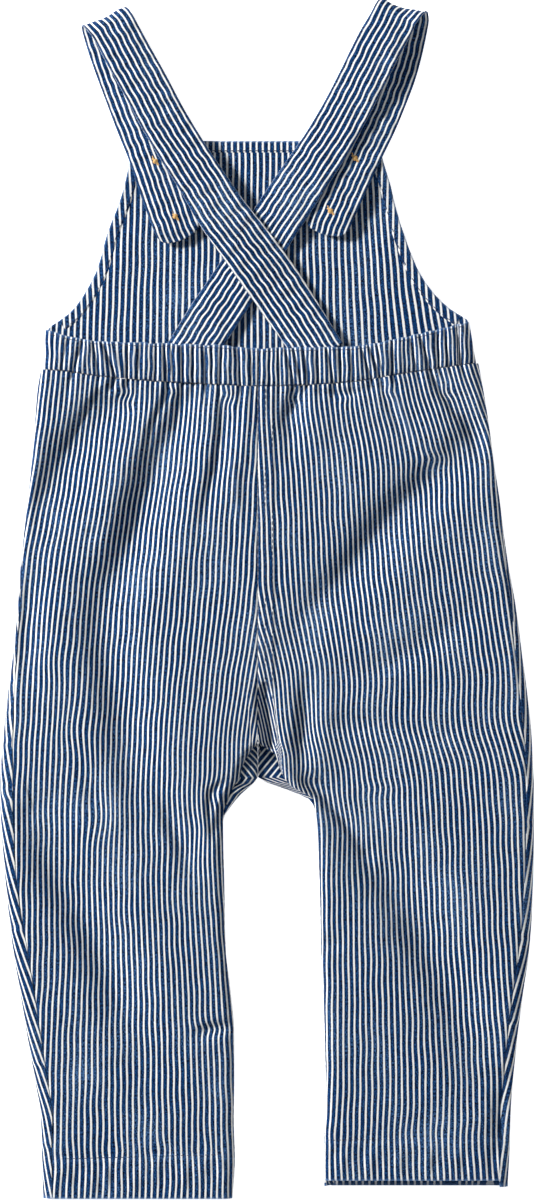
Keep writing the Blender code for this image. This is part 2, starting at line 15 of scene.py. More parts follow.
import bpy
import numpy as np
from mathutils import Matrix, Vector

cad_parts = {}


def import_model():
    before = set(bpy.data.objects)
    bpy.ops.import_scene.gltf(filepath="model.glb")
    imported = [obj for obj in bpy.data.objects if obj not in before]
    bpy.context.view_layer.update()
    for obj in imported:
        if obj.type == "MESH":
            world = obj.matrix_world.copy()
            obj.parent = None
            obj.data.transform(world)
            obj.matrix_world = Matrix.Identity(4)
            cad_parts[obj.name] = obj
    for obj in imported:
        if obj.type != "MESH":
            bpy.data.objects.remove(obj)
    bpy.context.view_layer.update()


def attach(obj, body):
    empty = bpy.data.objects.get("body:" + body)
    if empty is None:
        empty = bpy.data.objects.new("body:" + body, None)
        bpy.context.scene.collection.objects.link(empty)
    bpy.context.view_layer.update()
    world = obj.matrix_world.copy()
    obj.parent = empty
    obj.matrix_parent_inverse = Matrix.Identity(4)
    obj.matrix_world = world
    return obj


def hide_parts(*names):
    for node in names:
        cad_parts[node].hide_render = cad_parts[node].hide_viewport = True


LOG = logging.getLogger("dungarees")
MM = 0.001
BODY = "root"

CLOTH = 1.15           # one layer of denim
CENTRE_SEAM_X = -4.9   # centre back and centre front seams
SIDE_RADIUS = 5.5      # how far in the sides and inseams round over
SEAM_GAP = 0.3
CROTCH_OPEN_Y = -78.0
CROTCH_SHUT_Y = -96.0
STRIPE_PITCH = 3.33    # one white and one blue stripe


class Held(Enum):
    """How a piece of cloth is held, in the words of the frame's soft table."""

    LAID = "laid"
    GATHERED = "gathered"
    FOLDED = "folded"


class Side(Enum):
    """Which half of the garment a piece belongs to, as the sign of its X."""

    LEFT = -1
    RIGHT = 1


# ---- curves and fields --------------------------------------------------------------------
def smooth_step(low: float, high: float, value: np.ndarray) -> np.ndarray:
    """Rise from 0 at low to 1 at high as 3t^2 - 2t^3.

    Args:
        low: Where the rise starts.
        high: Where it ends; it may be below low.
        value: Where to read it.

    Returns:
        The rise at each value.
    """
    t = np.clip((np.asarray(value, dtype=float) - low) / (high - low), 0.0, 1.0)
    return t * t * (3.0 - 2.0 * t)


def round_over(distance: np.ndarray, radius: float = SIDE_RADIUS) -> np.ndarray:
    """A quarter ellipse, the square root of 1 - (1 - d/r)^2: 0 on an edge, 1 at the radius.

    Args:
        distance: How far in from the edge.
        radius: Where the surface is level again.

    Returns:
        The share of the full height.
    """
    t = np.clip(distance / radius, 0.0, 1.0)
    return np.sqrt(np.maximum(1.0 - (1.0 - t) ** 2, 0.0))


def bell(distance: np.ndarray, width: float | np.ndarray) -> np.ndarray:
    """A bell, e to the minus (d/w) squared.

    Args:
        distance: Distance from the bell's middle.
        width: Where it has fallen to 37 percent.

    Returns:
        The bell's height, at most 1.
    """
    return np.exp(-((distance / width) ** 2))


class Profile:
    """A monotone cubic through a table: Hermite spans whose slopes never overshoot."""

    def __init__(self, at: Sequence[float], value: Sequence[float]) -> None:
        """Keep the knots in rising order and work out their slopes.

        Args:
            at: The knots.
            value: The value at each knot.
        """
        order = np.argsort(at)
        self.at = np.asarray(at, dtype=float)[order]
        self.value = np.asarray(value, dtype=float)[order]
        step = np.diff(self.at)
        rise = np.diff(self.value) / step
        slope = np.zeros_like(self.value)
        same = rise[1:] * rise[:-1] > 0
        mean = 2 * rise[1:] * rise[:-1] / np.where(same, rise[1:] + rise[:-1], 1.0)
        slope[1:-1] = np.where(same, mean, 0.0)
        slope[0], slope[-1] = rise[0], rise[-1]
        self.slope = slope

    def __call__(self, at: np.ndarray) -> np.ndarray:
        """The curve's value; outside the table it keeps the end value."""
        at = np.clip(at, self.at[0], self.at[-1])
        k = np.clip(np.searchsorted(self.at, at) - 1, 0, len(self.at) - 2)
        h = self.at[k + 1] - self.at[k]
        t = (at - self.at[k]) / h
        first = (1 + 2 * t) * (1 - t) ** 2 * self.value[k] + t * (1 - t) ** 2 * h * self.slope[k]
        last = t**2 * (3 - 2 * t) * self.value[k + 1] + t**2 * (t - 1) * h * self.slope[k + 1]
        return first + last


def through(points: Sequence[Sequence[float]], count: int, space: int = 2) -> np.ndarray:
    """A Catmull-Rom curve through points, read at even steps of its length.

    Args:
        points: The points; any columns past the first `space` are carried along.
        count: How many stations to return.
        space: How many leading columns are a place, and so count as length.

    Returns:
        An array of stations, one row each.
    """
    knots = np.asarray(points, dtype=float)
    padded = np.vstack([2 * knots[0] - knots[1], knots, 2 * knots[-1] - knots[-2]])
    p0, p1, p2, p3 = (padded[k : len(padded) - 3 + k, None, :] for k in range(4))
    t = np.linspace(0.0, 1.0, 24, endpoint=False)[None, :, None]
    spans = 0.5 * (2 * p1 + (p2 - p0) * t + (2 * p0 - 5 * p1 + 4 * p2 - p3) * t**2
                   + (3 * p1 - p0 - 3 * p2 + p3) * t**3)
    curve = np.vstack([spans.reshape(-1, knots.shape[1]), knots[-1:]])
    length = np.concatenate([[0.0], np.cumsum(np.linalg.norm(np.diff(curve[:, :space], axis=0), axis=1))])
    at = np.linspace(0.0, length[-1], count)
    return np.column_stack([np.interp(at, length, curve[:, k]) for k in range(curve.shape[1])])


def ripple(x: np.ndarray, y: np.ndarray, wave: float, seed: float) -> np.ndarray:
    """Soft unevenness: the mean of six sine waves whose ways and phases follow from the seed.

    Args:
        x: Places across, in millimetres.
        y: Places along.
        wave: The typical wavelength.
        seed: Any number; each gives its own pattern.

    Returns:
        Values between about -1 and 1.
    """
    total = np.zeros(np.broadcast(x, y).shape)
    for k in range(6):
        way = seed * 1.7 + k * 2.399
        pull = 2 * math.pi / (wave * (0.7 + 0.13 * k))
        total = total + np.sin(pull * (x * math.cos(way) + y * math.sin(way)) + seed * 5.1 + k * 1.9)
    return total / 3.0


class Crease(NamedTuple):
    """One listed fold: a steep side, a slow rise after it, and a soft ridge beyond."""

    points: tuple[tuple[float, float], ...]
    width: float
    depth: float
    ridge: float = 0.0
    fade_start: float = 0.5
    fade_end: float = 0.9
    skew: float = 2.4


def crease_height(x: np.ndarray, y: np.ndarray, creases: Sequence[Crease]) -> np.ndarray:
    """Sum of the creases: each is -depth times a bell across its line, plus a bell beside it.

    The bell is `width` wide on the left of its way down and `skew` times that on the right.

    Args:
        x: Places across, in millimetres.
        y: Places along.
        creases: The folds; a negative depth makes a ridge.

    Returns:
        Height to add at each place.
    """
    total = np.zeros(np.broadcast(x, y).shape)
    for crease in creases:
        line = through(crease.points, 5 * len(crease.points))
        nearest = np.full(total.shape, np.inf)
        signed = np.zeros(total.shape)
        reach = np.zeros(total.shape)
        for k, (a, b) in enumerate(zip(line, line[1:])):
            way = b - a
            t = np.clip(((x - a[0]) * way[0] + (y - a[1]) * way[1]) / (way @ way), 0.0, 1.0)
            dx, dy = x - a[0] - t * way[0], y - a[1] - t * way[1]
            distance = np.hypot(dx, dy)
            closer = distance < nearest
            nearest = np.where(closer, distance, nearest)
            signed = np.where(closer, np.sign(way[0] * dy - way[1] * dx) * distance, signed)
            reach = np.where(closer, (k + t) / (len(line) - 1), reach)
        grow = smooth_step(-0.02, 0.35, reach) * (1 - crease.fade_start) + crease.fade_start
        drop = 1.0 - crease.fade_end * smooth_step(0.55, 1.0, reach)
        wide = crease.width * crease.skew
        shape = -crease.depth * bell(nearest, np.where(signed > 0, wide, crease.width))
        side = crease.ridge * bell(signed - 1.9 * wide, 1.1 * wide)
        total = total + grow * drop * (shape + side)
    return total


# ---- shader building ----------------------------------------------------------------------
class Value:
    """A shader value: a node's output socket, or a plain number, with arithmetic on it."""

    def __init__(self, tree: bpy.types.NodeTree, source: bpy.types.NodeSocket | float) -> None:
        """Remember the tree and the socket or number."""
        self.tree = tree
        self.source = source

    def _maths(self, operation: str, other: Value | float, swapped: bool = False) -> Value:
        """Add a Math node between this value and another.

        Args:
            operation: The Math node's operation.
            other: The second operand.
            swapped: Whether the operands change places.

        Returns:
            The node's result.
        """
        node = self.tree.nodes.new("ShaderNodeMath")
        node.operation = operation
        pair = (other, self) if swapped else (self, other)
        for socket, operand in zip(node.inputs, pair):
            source = operand.source if isinstance(operand, Value) else operand
            if isinstance(source, (int, float)):
                socket.default_value = source
            else:
                self.tree.links.new(source, socket)
        return Value(self.tree, node.outputs[0])

    def __add__(self, other: Value | float) -> Value:
        """Sum."""
        return self._maths("ADD", other)

    def __radd__(self, other: float) -> Value:
        """Sum, number first."""
        return self._maths("ADD", other)

    def __sub__(self, other: Value | float) -> Value:
        """Difference."""
        return self._maths("SUBTRACT", other)

    def __rsub__(self, other: float) -> Value:
        """Difference, number first."""
        return self._maths("SUBTRACT", other, swapped=True)

    def __mul__(self, other: Value | float) -> Value:
        """Product."""
        return self._maths("MULTIPLY", other)

    def __rmul__(self, other: float) -> Value:
        """Product, number first."""
        return self._maths("MULTIPLY", other)

    def __truediv__(self, other: Value | float) -> Value:
        """Quotient."""
        return self._maths("DIVIDE", other)

    def fraction(self) -> Value:
        """What is left over a whole number."""
        return self._maths("FRACT", 0.0)

    def size(self) -> Value:
        """Absolute value."""
        return self._maths("ABSOLUTE", 0.0)

    def sine(self) -> Value:
        """Sine of the value in radians."""
        return self._maths("SINE", 0.0)

    def least(self, other: Value | float) -> Value:
        """The smaller of two."""
        return self._maths("MINIMUM", other)

    def most(self, other: Value | float) -> Value:
        """The larger of two."""
        return self._maths("MAXIMUM", other)


class Look:
    """Builds one Principled material, node by node."""

    def __init__(self, name: str) -> None:
        """Make the material with its shader and output.

        Args:
            name: The material's name.
        """
        self.material = bpy.data.materials.new(name)
        self.material.use_nodes = True
        self.tree = self.material.node_tree
        self.shader = self.tree.nodes["Principled BSDF"]

    def node(self, kind: str, settings: dict[str, object] | None = None,
             inputs: dict[str, object] | None = None) -> bpy.types.Node:
        """Add a node.

        Args:
            kind: The node's type.
            settings: Attributes that are set first.
            inputs: Values, sockets or Value objects for named inputs.

        Returns:
            The node.
        """
        made = self.tree.nodes.new(kind)
        for key, value in (settings or {}).items():
            setattr(made, key, value)
        for key, value in (inputs or {}).items():
            self.feed(made.inputs[key], value)
        return made

    def feed(self, socket: bpy.types.NodeSocket, value: object) -> None:
        """Link or set one socket."""
        source = value.source if isinstance(value, Value) else value
        if isinstance(source, bpy.types.NodeSocket):
            self.tree.links.new(source, socket)
        else:
            socket.default_value = source

    def value(self, socket: bpy.types.NodeSocket) -> Value:
        """Wrap a socket for arithmetic."""
        return Value(self.tree, socket)

    def ramp(self, value: Value, low: float, high: float) -> Value:
        """A smooth rise of the value from 0 at low to 1 at high."""
        made = self.node("ShaderNodeMapRange", {"interpolation_type": "SMOOTHSTEP"},
                         {"Value": value, "From Min": low, "From Max": high})
        return self.value(made.outputs["Result"])

    def mix(self, share: Value | float, first: object, second: object) -> bpy.types.NodeSocket:
        """Mix two colours; share 0 gives the first."""
        made = self.tree.nodes.new("ShaderNodeMix")
        made.data_type = "RGBA"
        self.feed(made.inputs[0], share)
        self.feed(made.inputs[6], first)
        self.feed(made.inputs[7], second)
        return made.outputs[2]

    def noise(self, vector: bpy.types.NodeSocket, scale: float, detail: float = 2.0) -> Value:
        """Noise between 0 and 1 over the given coordinates."""
        made = self.node("ShaderNodeTexNoise", {"noise_dimensions": "3D"},
                         {"Vector": vector, "Scale": scale, "Detail": detail, "Roughness": 0.6})
        return self.value(made.outputs[0])

    def stretched(self, u: Value, v: Value, across: float, along: float) -> bpy.types.NodeSocket:
        """Coordinates in which one unit is `across` by `along` metres of cloth."""
        made = self.node("ShaderNodeCombineXYZ", {}, {"X": u * (1.0 / across), "Y": v * (1.0 / along)})
        return made.outputs[0]


Colour = tuple[float, float, float]


def linear(red: int, green: int, blue: int) -> tuple[float, float, float, float]:
    """A colour named in 0-255 display steps, as the shader's linear values."""
    parts = [c / 255.0 for c in (red, green, blue)]
    made = [p / 12.92 if p <= 0.04045 else ((p + 0.055) / 1.055) ** 2.4 for p in parts]
    return (made[0], made[1], made[2], 1.0)


@dataclass(frozen=True)
class StripedDenim:
    """Engineer stripe: heathered navy twill with narrow off-white warp stripes, worn paler at its edges."""

    name: str = "striped denim"
    navy: tuple[int, int, int] = (16, 66, 122)
    dark: tuple[int, int, int] = (0, 4, 34)
    light: tuple[int, int, int] = (96, 140, 192)
    white: tuple[int, int, int] = (255, 255, 252)
    # Pale blue of worn edges, also used as a painted highlight on raised ridges and the band's puffs.
    faded_and_highlight: tuple[int, int, int] = (112, 150, 200)
    pitch: float = STRIPE_PITCH * MM
    white_share: float = 0.325
    softness: float = 0.025
    bump: float = 0.35

    def build(self) -> bpy.types.Material:
        """Stripes across U, twill and heather over U and V, turning paler where the wear attribute is high: worn
        edges and hems, and a painted highlight on raised ridges and the band's puffs.

        Returns:
            The material.
        """
        look = Look(self.name)
        uv = look.node("ShaderNodeUVMap", {"uv_map": "cloth"})
        parts = look.node("ShaderNodeSeparateXYZ", {}, {"Vector": uv.outputs[0]})
        u, v = look.value(parts.outputs[0]), look.value(parts.outputs[1])
        wear_and_highlight = look.value(look.node("ShaderNodeAttribute", {"attribute_name": "wear_and_highlight"}).outputs["Fac"])
        yarn = look.noise(look.stretched(u, v, 0.0007, 0.0011), 1.0, 1.0)
        slub = look.noise(look.stretched(u, v, 0.0011, 0.006), 1.0, 2.0)
        cloud = look.noise(look.stretched(u, v, 0.03, 0.045), 1.0, 3.0)
        twill = ((u * 1.0 + v * 0.72) * (2 * math.pi / 0.00078)).sine()
        wobble = (yarn - 0.5) * 0.09 + (slub - 0.5) * 0.05
        phase = ((u / self.pitch + wobble).fraction() - 0.5).size()
        edge = self.white_share / 2
        white = 1.0 - look.ramp(phase, edge - self.softness, edge + self.softness)
        heather = look.ramp(yarn * 0.62 + slub * 0.38 + twill * 0.035, 0.36, 0.60)
        blue = look.mix(heather, linear(*self.dark), linear(*self.navy))
        fleck = look.ramp(yarn * 0.55 + cloud * 0.45 + twill * 0.03, 0.50, 0.74)
        blue = look.mix(fleck * 0.85, blue, linear(*self.light))
        chalk = look.mix(look.ramp(yarn + twill * 0.05, 0.55, 0.85) * 0.08, linear(*self.white), blue)
        base = look.mix(white, blue, chalk)
        # Mix towards the pale blue: worn edges, and a painted highlight on raised ridges and the band's puffs.
        base = look.mix(look.ramp(wear_and_highlight, 0.0, 1.0), base, linear(*self.faded_and_highlight))
        look.feed(look.shader.inputs["Base Color"], base)
        look.feed(look.shader.inputs["Roughness"], 0.86 + yarn * 0.1)
        height = twill * 0.45 + yarn * 0.9 + white * 0.35
        bump = look.node("ShaderNodeBump", {}, {"Height": height, "Strength": self.bump, "Distance": 0.00022})
        look.feed(look.shader.inputs["Normal"], bump.outputs[0])
        look.shader.inputs["Sheen Weight"].default_value = 0.03
        look.shader.inputs["Sheen Roughness"].default_value = 0.45
        look.shader.inputs["Specular IOR Level"].default_value = 0.1
        return look.material


@dataclass(frozen=True)
class Thread:
    """Twisted sewing thread: one colour, darker between its turns."""

    name: str
    colour: tuple[int, int, int]
    shade: tuple[int, int, int]

    def build(self) -> bpy.types.Material:
        """Fine noise between the two colours over Object coordinates.

        Returns:
            The material.
        """
        look = Look(self.name)
        place = look.node("ShaderNodeTexCoord").outputs["Object"]
        turn = look.noise(place, 2600.0, 1.0)
        base = look.mix(look.ramp(turn, 0.35, 0.65), linear(*self.shade), linear(*self.colour))
        look.feed(look.shader.inputs["Base Color"], base)
        look.feed(look.shader.inputs["Roughness"], 0.6 + turn * 0.2)
        bump = look.node("ShaderNodeBump", {}, {"Height": turn, "Strength": 0.4, "Distance": 0.0001})
        look.feed(look.shader.inputs["Normal"], bump.outputs[0])
        look.shader.inputs["Sheen Weight"].default_value = 0.2
        return look.material


@dataclass(frozen=True)
class Horn:
    """Horn-coloured button plastic with soft streaks."""

    name: str = "horn"

    def build(self) -> bpy.types.Material:
        """Stretched noise between two browns.

        Returns:
            The material.
        """
        look = Look(self.name)
        place = look.node("ShaderNodeTexCoord").outputs["Object"]
        turned = look.node("ShaderNodeMapping", {}, {"Vector": place, "Scale": (260.0, 90.0, 200.0)})
        streak = look.noise(turned.outputs[0], 1.0, 3.0)
        base = look.mix(look.ramp(streak, 0.3, 0.7), linear(84, 56, 34), linear(158, 118, 76))
        look.feed(look.shader.inputs["Base Color"], base)
        look.feed(look.shader.inputs["Roughness"], 0.28 + streak * 0.15)
        look.shader.inputs["Coat Weight"].default_value = 0.2
        return look.material


@dataclass(frozen=True)
class Paper:
    """The plain pale surface that the garment lies on."""

    name: str = "white surface"
    colour: tuple[int, int, int] = (250, 250, 250)
    glow: float = 0.85

    def build(self) -> bpy.types.Material:
        """A matte near-white, lit from below as a light table is, with a trace of unevenness."""
        look = Look(self.name)
        grain = look.noise(look.node("ShaderNodeTexCoord").outputs["Object"], 30.0, 2.0)
        base = look.mix(grain * 0.03, linear(*self.colour), linear(236, 236, 238))
        look.feed(look.shader.inputs["Base Color"], base)
        look.shader.inputs["Roughness"].default_value = 1.0
        look.shader.inputs["Specular IOR Level"].default_value = 0.0
        look.shader.inputs["Emission Color"].default_value = linear(*self.colour)
        look.shader.inputs["Emission Strength"].default_value = self.glow
        return look.material


# ---- meshes -------------------------------------------------------------------------------
def publish(obj: bpy.types.Object, finish: bpy.types.Material, nodes: Sequence[str] = ()) -> None:
    """Dress a piece, make it ride on the body and hide the CAD nodes that it replaces.

    Args:
        obj: The finished piece.
        finish: Its material.
        nodes: CAD nodes that it replaces.
    """
    obj.data.materials.append(finish)
    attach(obj, BODY)
    if nodes:
        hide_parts(*nodes)


def make_mesh(name: str, points: np.ndarray, quads: np.ndarray) -> bpy.types.Object:
    """Put vertices (in millimetres) and quads into a new smooth-shaded object.

    Args:
        name: The object's name.
        points: Vertices, one row each.
        quads: Vertex numbers, four in a row.

    Returns:
        The object.
    """
    mesh = bpy.data.meshes.new(name)
    mesh.vertices.add(len(points))
    mesh.vertices.foreach_set("co", (points * MM).astype(np.float32).ravel())
    mesh.loops.add(quads.size)
    mesh.loops.foreach_set("vertex_index", quads.astype(np.int32).ravel())
    mesh.polygons.add(len(quads))
    mesh.polygons.foreach_set("loop_start", (np.arange(len(quads)) * quads.shape[1]).astype(np.int32))
    mesh.update(calc_edges=True)
    mesh.validate()
    mesh.shade_smooth()
    obj = bpy.data.objects.new(name, mesh)
    bpy.context.scene.collection.objects.link(obj)
    return obj


def set_cloth(obj: bpy.types.Object, uv: np.ndarray, wear_and_highlight: np.ndarray) -> None:
    """Store each vertex's place in the cloth as the "cloth" UV map, and how much paler it is.

    Args:
        obj: The piece.
        uv: Place across and along the cloth in metres, one row for each vertex.
        wear_and_highlight: 0 for fresh cloth to 1 for the palest blue: worn edges, and a painted highlight on raised
            ridges.
    """
    mesh = obj.data
    corner = np.empty(len(mesh.loops), dtype=np.int32)
    mesh.loops.foreach_get("vertex_index", corner)
    layer = mesh.uv_layers.new(name="cloth")
    layer.data.foreach_set("uv", uv[corner].astype(np.float32).ravel())
    # One attribute for worn paling and painted highlight together.
    fade = mesh.attributes.new("wear_and_highlight", "FLOAT", "POINT")
    fade.data.foreach_set("value", wear_and_highlight.astype(np.float32))


def grid_normals(grid: np.ndarray) -> np.ndarray:
    """Unit normals of a grid: the cross product of its differences along rows and columns."""
    down = np.gradient(grid, axis=0)
    across = np.gradient(grid, axis=1)
    normal = np.cross(down, across)
    return normal / np.maximum(np.linalg.norm(normal, axis=2, keepdims=True), 1e-9)


def cloth_shell(name: str, grid: np.ndarray, uv: np.ndarray, wear_and_highlight: np.ndarray, up: bool,
                thickness: float = CLOTH) -> bpy.types.Object:
    """A closed wall of cloth: the grid is its outer face, and the inner face lies a thickness below.

    The rim joins the two faces round all four edges.

    Args:
        name: The piece's name.
        grid: Outer face, rows by columns by 3, in millimetres.
        uv: Place in the cloth, rows by columns by 2, in millimetres.
        wear_and_highlight: How much paler, rows by columns: worn edges, and a painted highlight on raised ridges.
        up: Whether the cross product of rows and columns points outwards.
        thickness: The wall, in millimetres.

    Returns:
        The object.
    """
    rows, columns = grid.shape[:2]
    outward = grid_normals(grid) * (1.0 if up else -1.0)
    inner = grid - outward * thickness
    number = np.arange(rows * columns).reshape(rows, columns)
    a, b = number[:-1, :-1].ravel(), number[1:, :-1].ravel()
    c, d = number[1:, 1:].ravel(), number[:-1, 1:].ravel()
    outer_quads = np.column_stack([a, b, c, d])
    inner_quads = outer_quads[:, ::-1] + rows * columns
    ring = np.concatenate([number[:, 0], number[-1, 1:], number[-2::-1, -1], number[0, -2:0:-1]])
    after = np.roll(ring, -1)
    rim = np.column_stack([after, ring, ring + rows * columns, after + rows * columns])
    quads = np.vstack([outer_quads, inner_quads, rim])
    if not up:
        quads = quads[:, ::-1]
    obj = make_mesh(name, np.vstack([grid.reshape(-1, 3), inner.reshape(-1, 3)]), quads)
    flat_uv = uv.reshape(-1, 2) * MM
    set_cloth(obj, np.vstack([flat_uv, flat_uv]), np.concatenate([wear_and_highlight.ravel(), wear_and_highlight.ravel()]))
    obj.data.set_sharp_from_angle(angle=math.radians(62.0))
    return obj


def stitch_row(name: str, line: np.ndarray, up: np.ndarray, length: float = 2.3, gap: float = 0.9,
               thick: float = 0.42) -> bpy.types.Object:
    """A row of topstitches: each is a low six-sided spindle sunk at both ends into the cloth.

    Args:
        name: The piece's name.
        line: The seam's places on the cloth, in millimetres.
        up: Which way is out of the cloth at each place.
        length: One stitch.
        gap: Cloth between two stitches.
        thick: The thread's thickness.

    Returns:
        The object.
    """
    steps = np.concatenate([[0.0], np.cumsum(np.linalg.norm(np.diff(line, axis=0), axis=1))])
    count = max(int(steps[-1] / (length + gap)), 1)
    start = (np.arange(count) + 0.1) * steps[-1] / count
    along = np.array([0.0, 0.12, 0.5, 0.88, 1.0])
    at = start[:, None] + along[None, :] * length
    place = np.stack([np.interp(at, steps, line[:, k]) for k in range(3)], axis=2)
    out = np.stack([np.interp(at, steps, up[:, k]) for k in range(3)], axis=2)
    out /= np.linalg.norm(out, axis=2, keepdims=True)
    way = np.gradient(place, axis=1)
    way /= np.maximum(np.linalg.norm(way, axis=2, keepdims=True), 1e-9)
    side = np.cross(way, out)
    girth = np.array([0.35, 0.85, 1.0, 0.85, 0.35])[None, :, None, None] * thick / 2
    lift = np.array([-0.12, 0.08, 0.16, 0.08, -0.12])[None, :, None]
    angle = np.linspace(0.0, 2 * math.pi, 6, endpoint=False)[None, None, :, None]
    ring = place[:, :, None, :] + girth * (np.cos(angle) * side[:, :, None, :]
                                           + 0.8 * np.sin(angle) * out[:, :, None, :])
    ring = ring + (lift[..., None] * out[:, :, None, :])
    number = np.arange(count * 5 * 6).reshape(count, 5, 6)
    nxt = np.roll(number, -1, axis=2)
    tube = np.stack([number[:, :-1], nxt[:, :-1], nxt[:, 1:], number[:, 1:]], axis=-1).reshape(-1, 4)
    caps = []
    for end, turn in ((number[:, 0], 1), (number[:, -1], -1)):
        for first in (0, 2):
            quad = np.stack([end[:, first], end[:, first + 1], end[:, first + 2], end[:, (first + 3) % 6]], axis=-1)
            caps.append(quad[:, ::-turn])
    return make_mesh(name, ring.reshape(-1, 3), np.vstack([tube, *caps]))


# ---- trousers -----------------------------------------------------------------------------
class LegRow(NamedTuple):
    """One section across a leg: outline, side seam's distance in from the edge, and height."""

    y: float
    outer: float
    inner: float
    inset: float
    loft: float


class GrainRow(NamedTuple):
    """How far the stripes lean at one height, in degrees, beside the centre and 120 mm out."""

    y: float
    inner: float
    outer: float


LEFT_ROWS = (
    LegRow(124.0, -120.6, CENTRE_SEAM_X, 0.0, 10.0),
    LegRow(107.5, -123.8, CENTRE_SEAM_X, 0.0, 10.6),
    LegRow(90.0, -125.4, CENTRE_SEAM_X, 0.0, 11.0),
    LegRow(72.0, -127.1, CENTRE_SEAM_X, 0.0, 11.4),
    LegRow(54.0, -128.9, CENTRE_SEAM_X, 0.0, 11.6),
    LegRow(36.0, -131.0, CENTRE_SEAM_X, 0.4, 11.8),
    LegRow(17.0, -133.0, CENTRE_SEAM_X, 0.8, 12.0),
    LegRow(-4.0, -134.4, CENTRE_SEAM_X, 1.2, 12.0),
    LegRow(-27.0, -136.6, CENTRE_SEAM_X, 2.0, 12.2),
    LegRow(-48.0, -139.4, CENTRE_SEAM_X, 3.6, 12.4),
    LegRow(-66.0, -141.4, CENTRE_SEAM_X, 4.8, 12.4),
    LegRow(-80.0, -142.8, CENTRE_SEAM_X, 5.9, 12.4),
    LegRow(-91.0, -143.6, CENTRE_SEAM_X, 6.8, 12.4),
    LegRow(-96.4, -143.8, CENTRE_SEAM_X, 7.0, 12.4),
    LegRow(-97.4, -143.8, -5.6, 7.0, 12.4),
    LegRow(-100.5, -143.8, -9.2, 7.2, 12.4),
    LegRow(-105.0, -143.8, -14.2, 7.2, 12.4),
    LegRow(-111.0, -143.8, -19.2, 7.0, 12.4),
    LegRow(-119.0, -143.4, -23.6, 6.8, 12.4),
    LegRow(-133.0, -142.5, -23.5, 6.5, 12.2),
    LegRow(-150.0, -141.1, -23.0, 6.1, 12.0),
    LegRow(-168.0, -139.3, -22.7, 6.6, 11.8),
    LegRow(-188.0, -137.0, -22.2, 8.0, 11.6),
    LegRow(-210.0, -133.3, -19.7, 7.9, 11.2),
    LegRow(-233.0, -129.6, -17.7, 7.5, 10.8),
    LegRow(-257.0, -125.4, -17.6, 7.0, 10.2),
    LegRow(-280.0, -121.9, -17.9, 6.4, 9.8),
    LegRow(-301.0, -121.4, -17.3, 5.4, 9.4),
    LegRow(-322.4, -120.8, -18.6, 5.4, 9.0),
)

RIGHT_ROWS = (
    LegRow(124.0, 112.8, CENTRE_SEAM_X, 0.0, 10.0),
    LegRow(107.5, 116.2, CENTRE_SEAM_X, 0.0, 10.6),
    LegRow(90.0, 119.6, CENTRE_SEAM_X, 0.0, 11.0),
    LegRow(72.0, 122.6, CENTRE_SEAM_X, 0.0, 11.4),
    LegRow(54.0, 125.4, CENTRE_SEAM_X, 0.4, 11.6),
    LegRow(36.0, 127.6, CENTRE_SEAM_X, 0.8, 11.8),
    LegRow(17.0, 130.4, CENTRE_SEAM_X, 1.6, 12.0),
    LegRow(-4.0, 134.2, CENTRE_SEAM_X, 2.4, 12.0),
    LegRow(-27.0, 137.2, CENTRE_SEAM_X, 3.7, 12.2),
    LegRow(-48.0, 140.0, CENTRE_SEAM_X, 4.2, 12.4),
    LegRow(-66.0, 142.0, CENTRE_SEAM_X, 4.1, 12.4),
    LegRow(-80.0, 143.0, CENTRE_SEAM_X, 4.0, 12.4),
    LegRow(-91.0, 143.4, CENTRE_SEAM_X, 4.0, 12.4),
    LegRow(-96.4, 143.7, CENTRE_SEAM_X, 4.1, 12.4),
    LegRow(-97.4, 143.8, -2.8, 4.1, 12.4),
    LegRow(-100.0, 143.8, 4.0, 4.1, 12.4),
    LegRow(-103.5, 143.8, 13.6, 4.2, 12.4),
    LegRow(-107.0, 143.8, 22.0, 4.2, 12.4),
    LegRow(-112.0, 143.8, 25.4, 4.3, 12.4),
    LegRow(-133.0, 143.8, 27.4, 4.5, 12.2),
    LegRow(-150.0, 143.4, 28.2, 4.8, 12.0),
    LegRow(-168.0, 142.8, 28.7, 5.2, 11.8),
    LegRow(-188.0, 141.4, 29.0, 5.8, 11.6),
    LegRow(-210.0, 138.3, 30.2, 5.8, 11.2),
    LegRow(-233.0, 135.3, 31.0, 5.6, 10.8),
    LegRow(-257.0, 132.8, 31.6, 5.2, 10.2),
    LegRow(-275.0, 131.4, 32.0, 5.6, 9.8),
    LegRow(-291.5, 131.0, 30.6, 4.8, 9.4),
    LegRow(-312.6, 130.0, 30.8, 4.7, 9.0),
)

RIGHT_GUSSET = (
    (-77.0, 0.0), (-80.0, 5.0), (-84.0, 9.6), (-90.0, 11.4),
    (-97.0, 14.0), (-99.0, 10.0), (-101.0, 7.0), (-104.0, 4.6), (-108.0, 2.0), (-112.0, 0.0),
)

LEFT_GRAIN = (
    GrainRow(126.0, 3.0, 12.0), GrainRow(110.0, 4.0, 12.5), GrainRow(90.0, 4.0, 10.5),
    GrainRow(70.0, 4.0, 8.5), GrainRow(45.0, 3.0, 8.0), GrainRow(15.0, 3.0, 5.5),
    GrainRow(-20.0, 4.5, 5.0), GrainRow(-55.0, 5.5, 2.5), GrainRow(-95.0, 4.0, 4.5),
    GrainRow(-115.0, 0.0, 1.0), GrainRow(-140.0, -2.5, 0.0), GrainRow(-170.0, -4.0, 0.0),
    GrainRow(-210.0, -4.0, 1.0), GrainRow(-245.0, -3.5, 2.0), GrainRow(-280.0, -2.0, 1.0),
    GrainRow(-323.0, -1.5, 3.0),
)

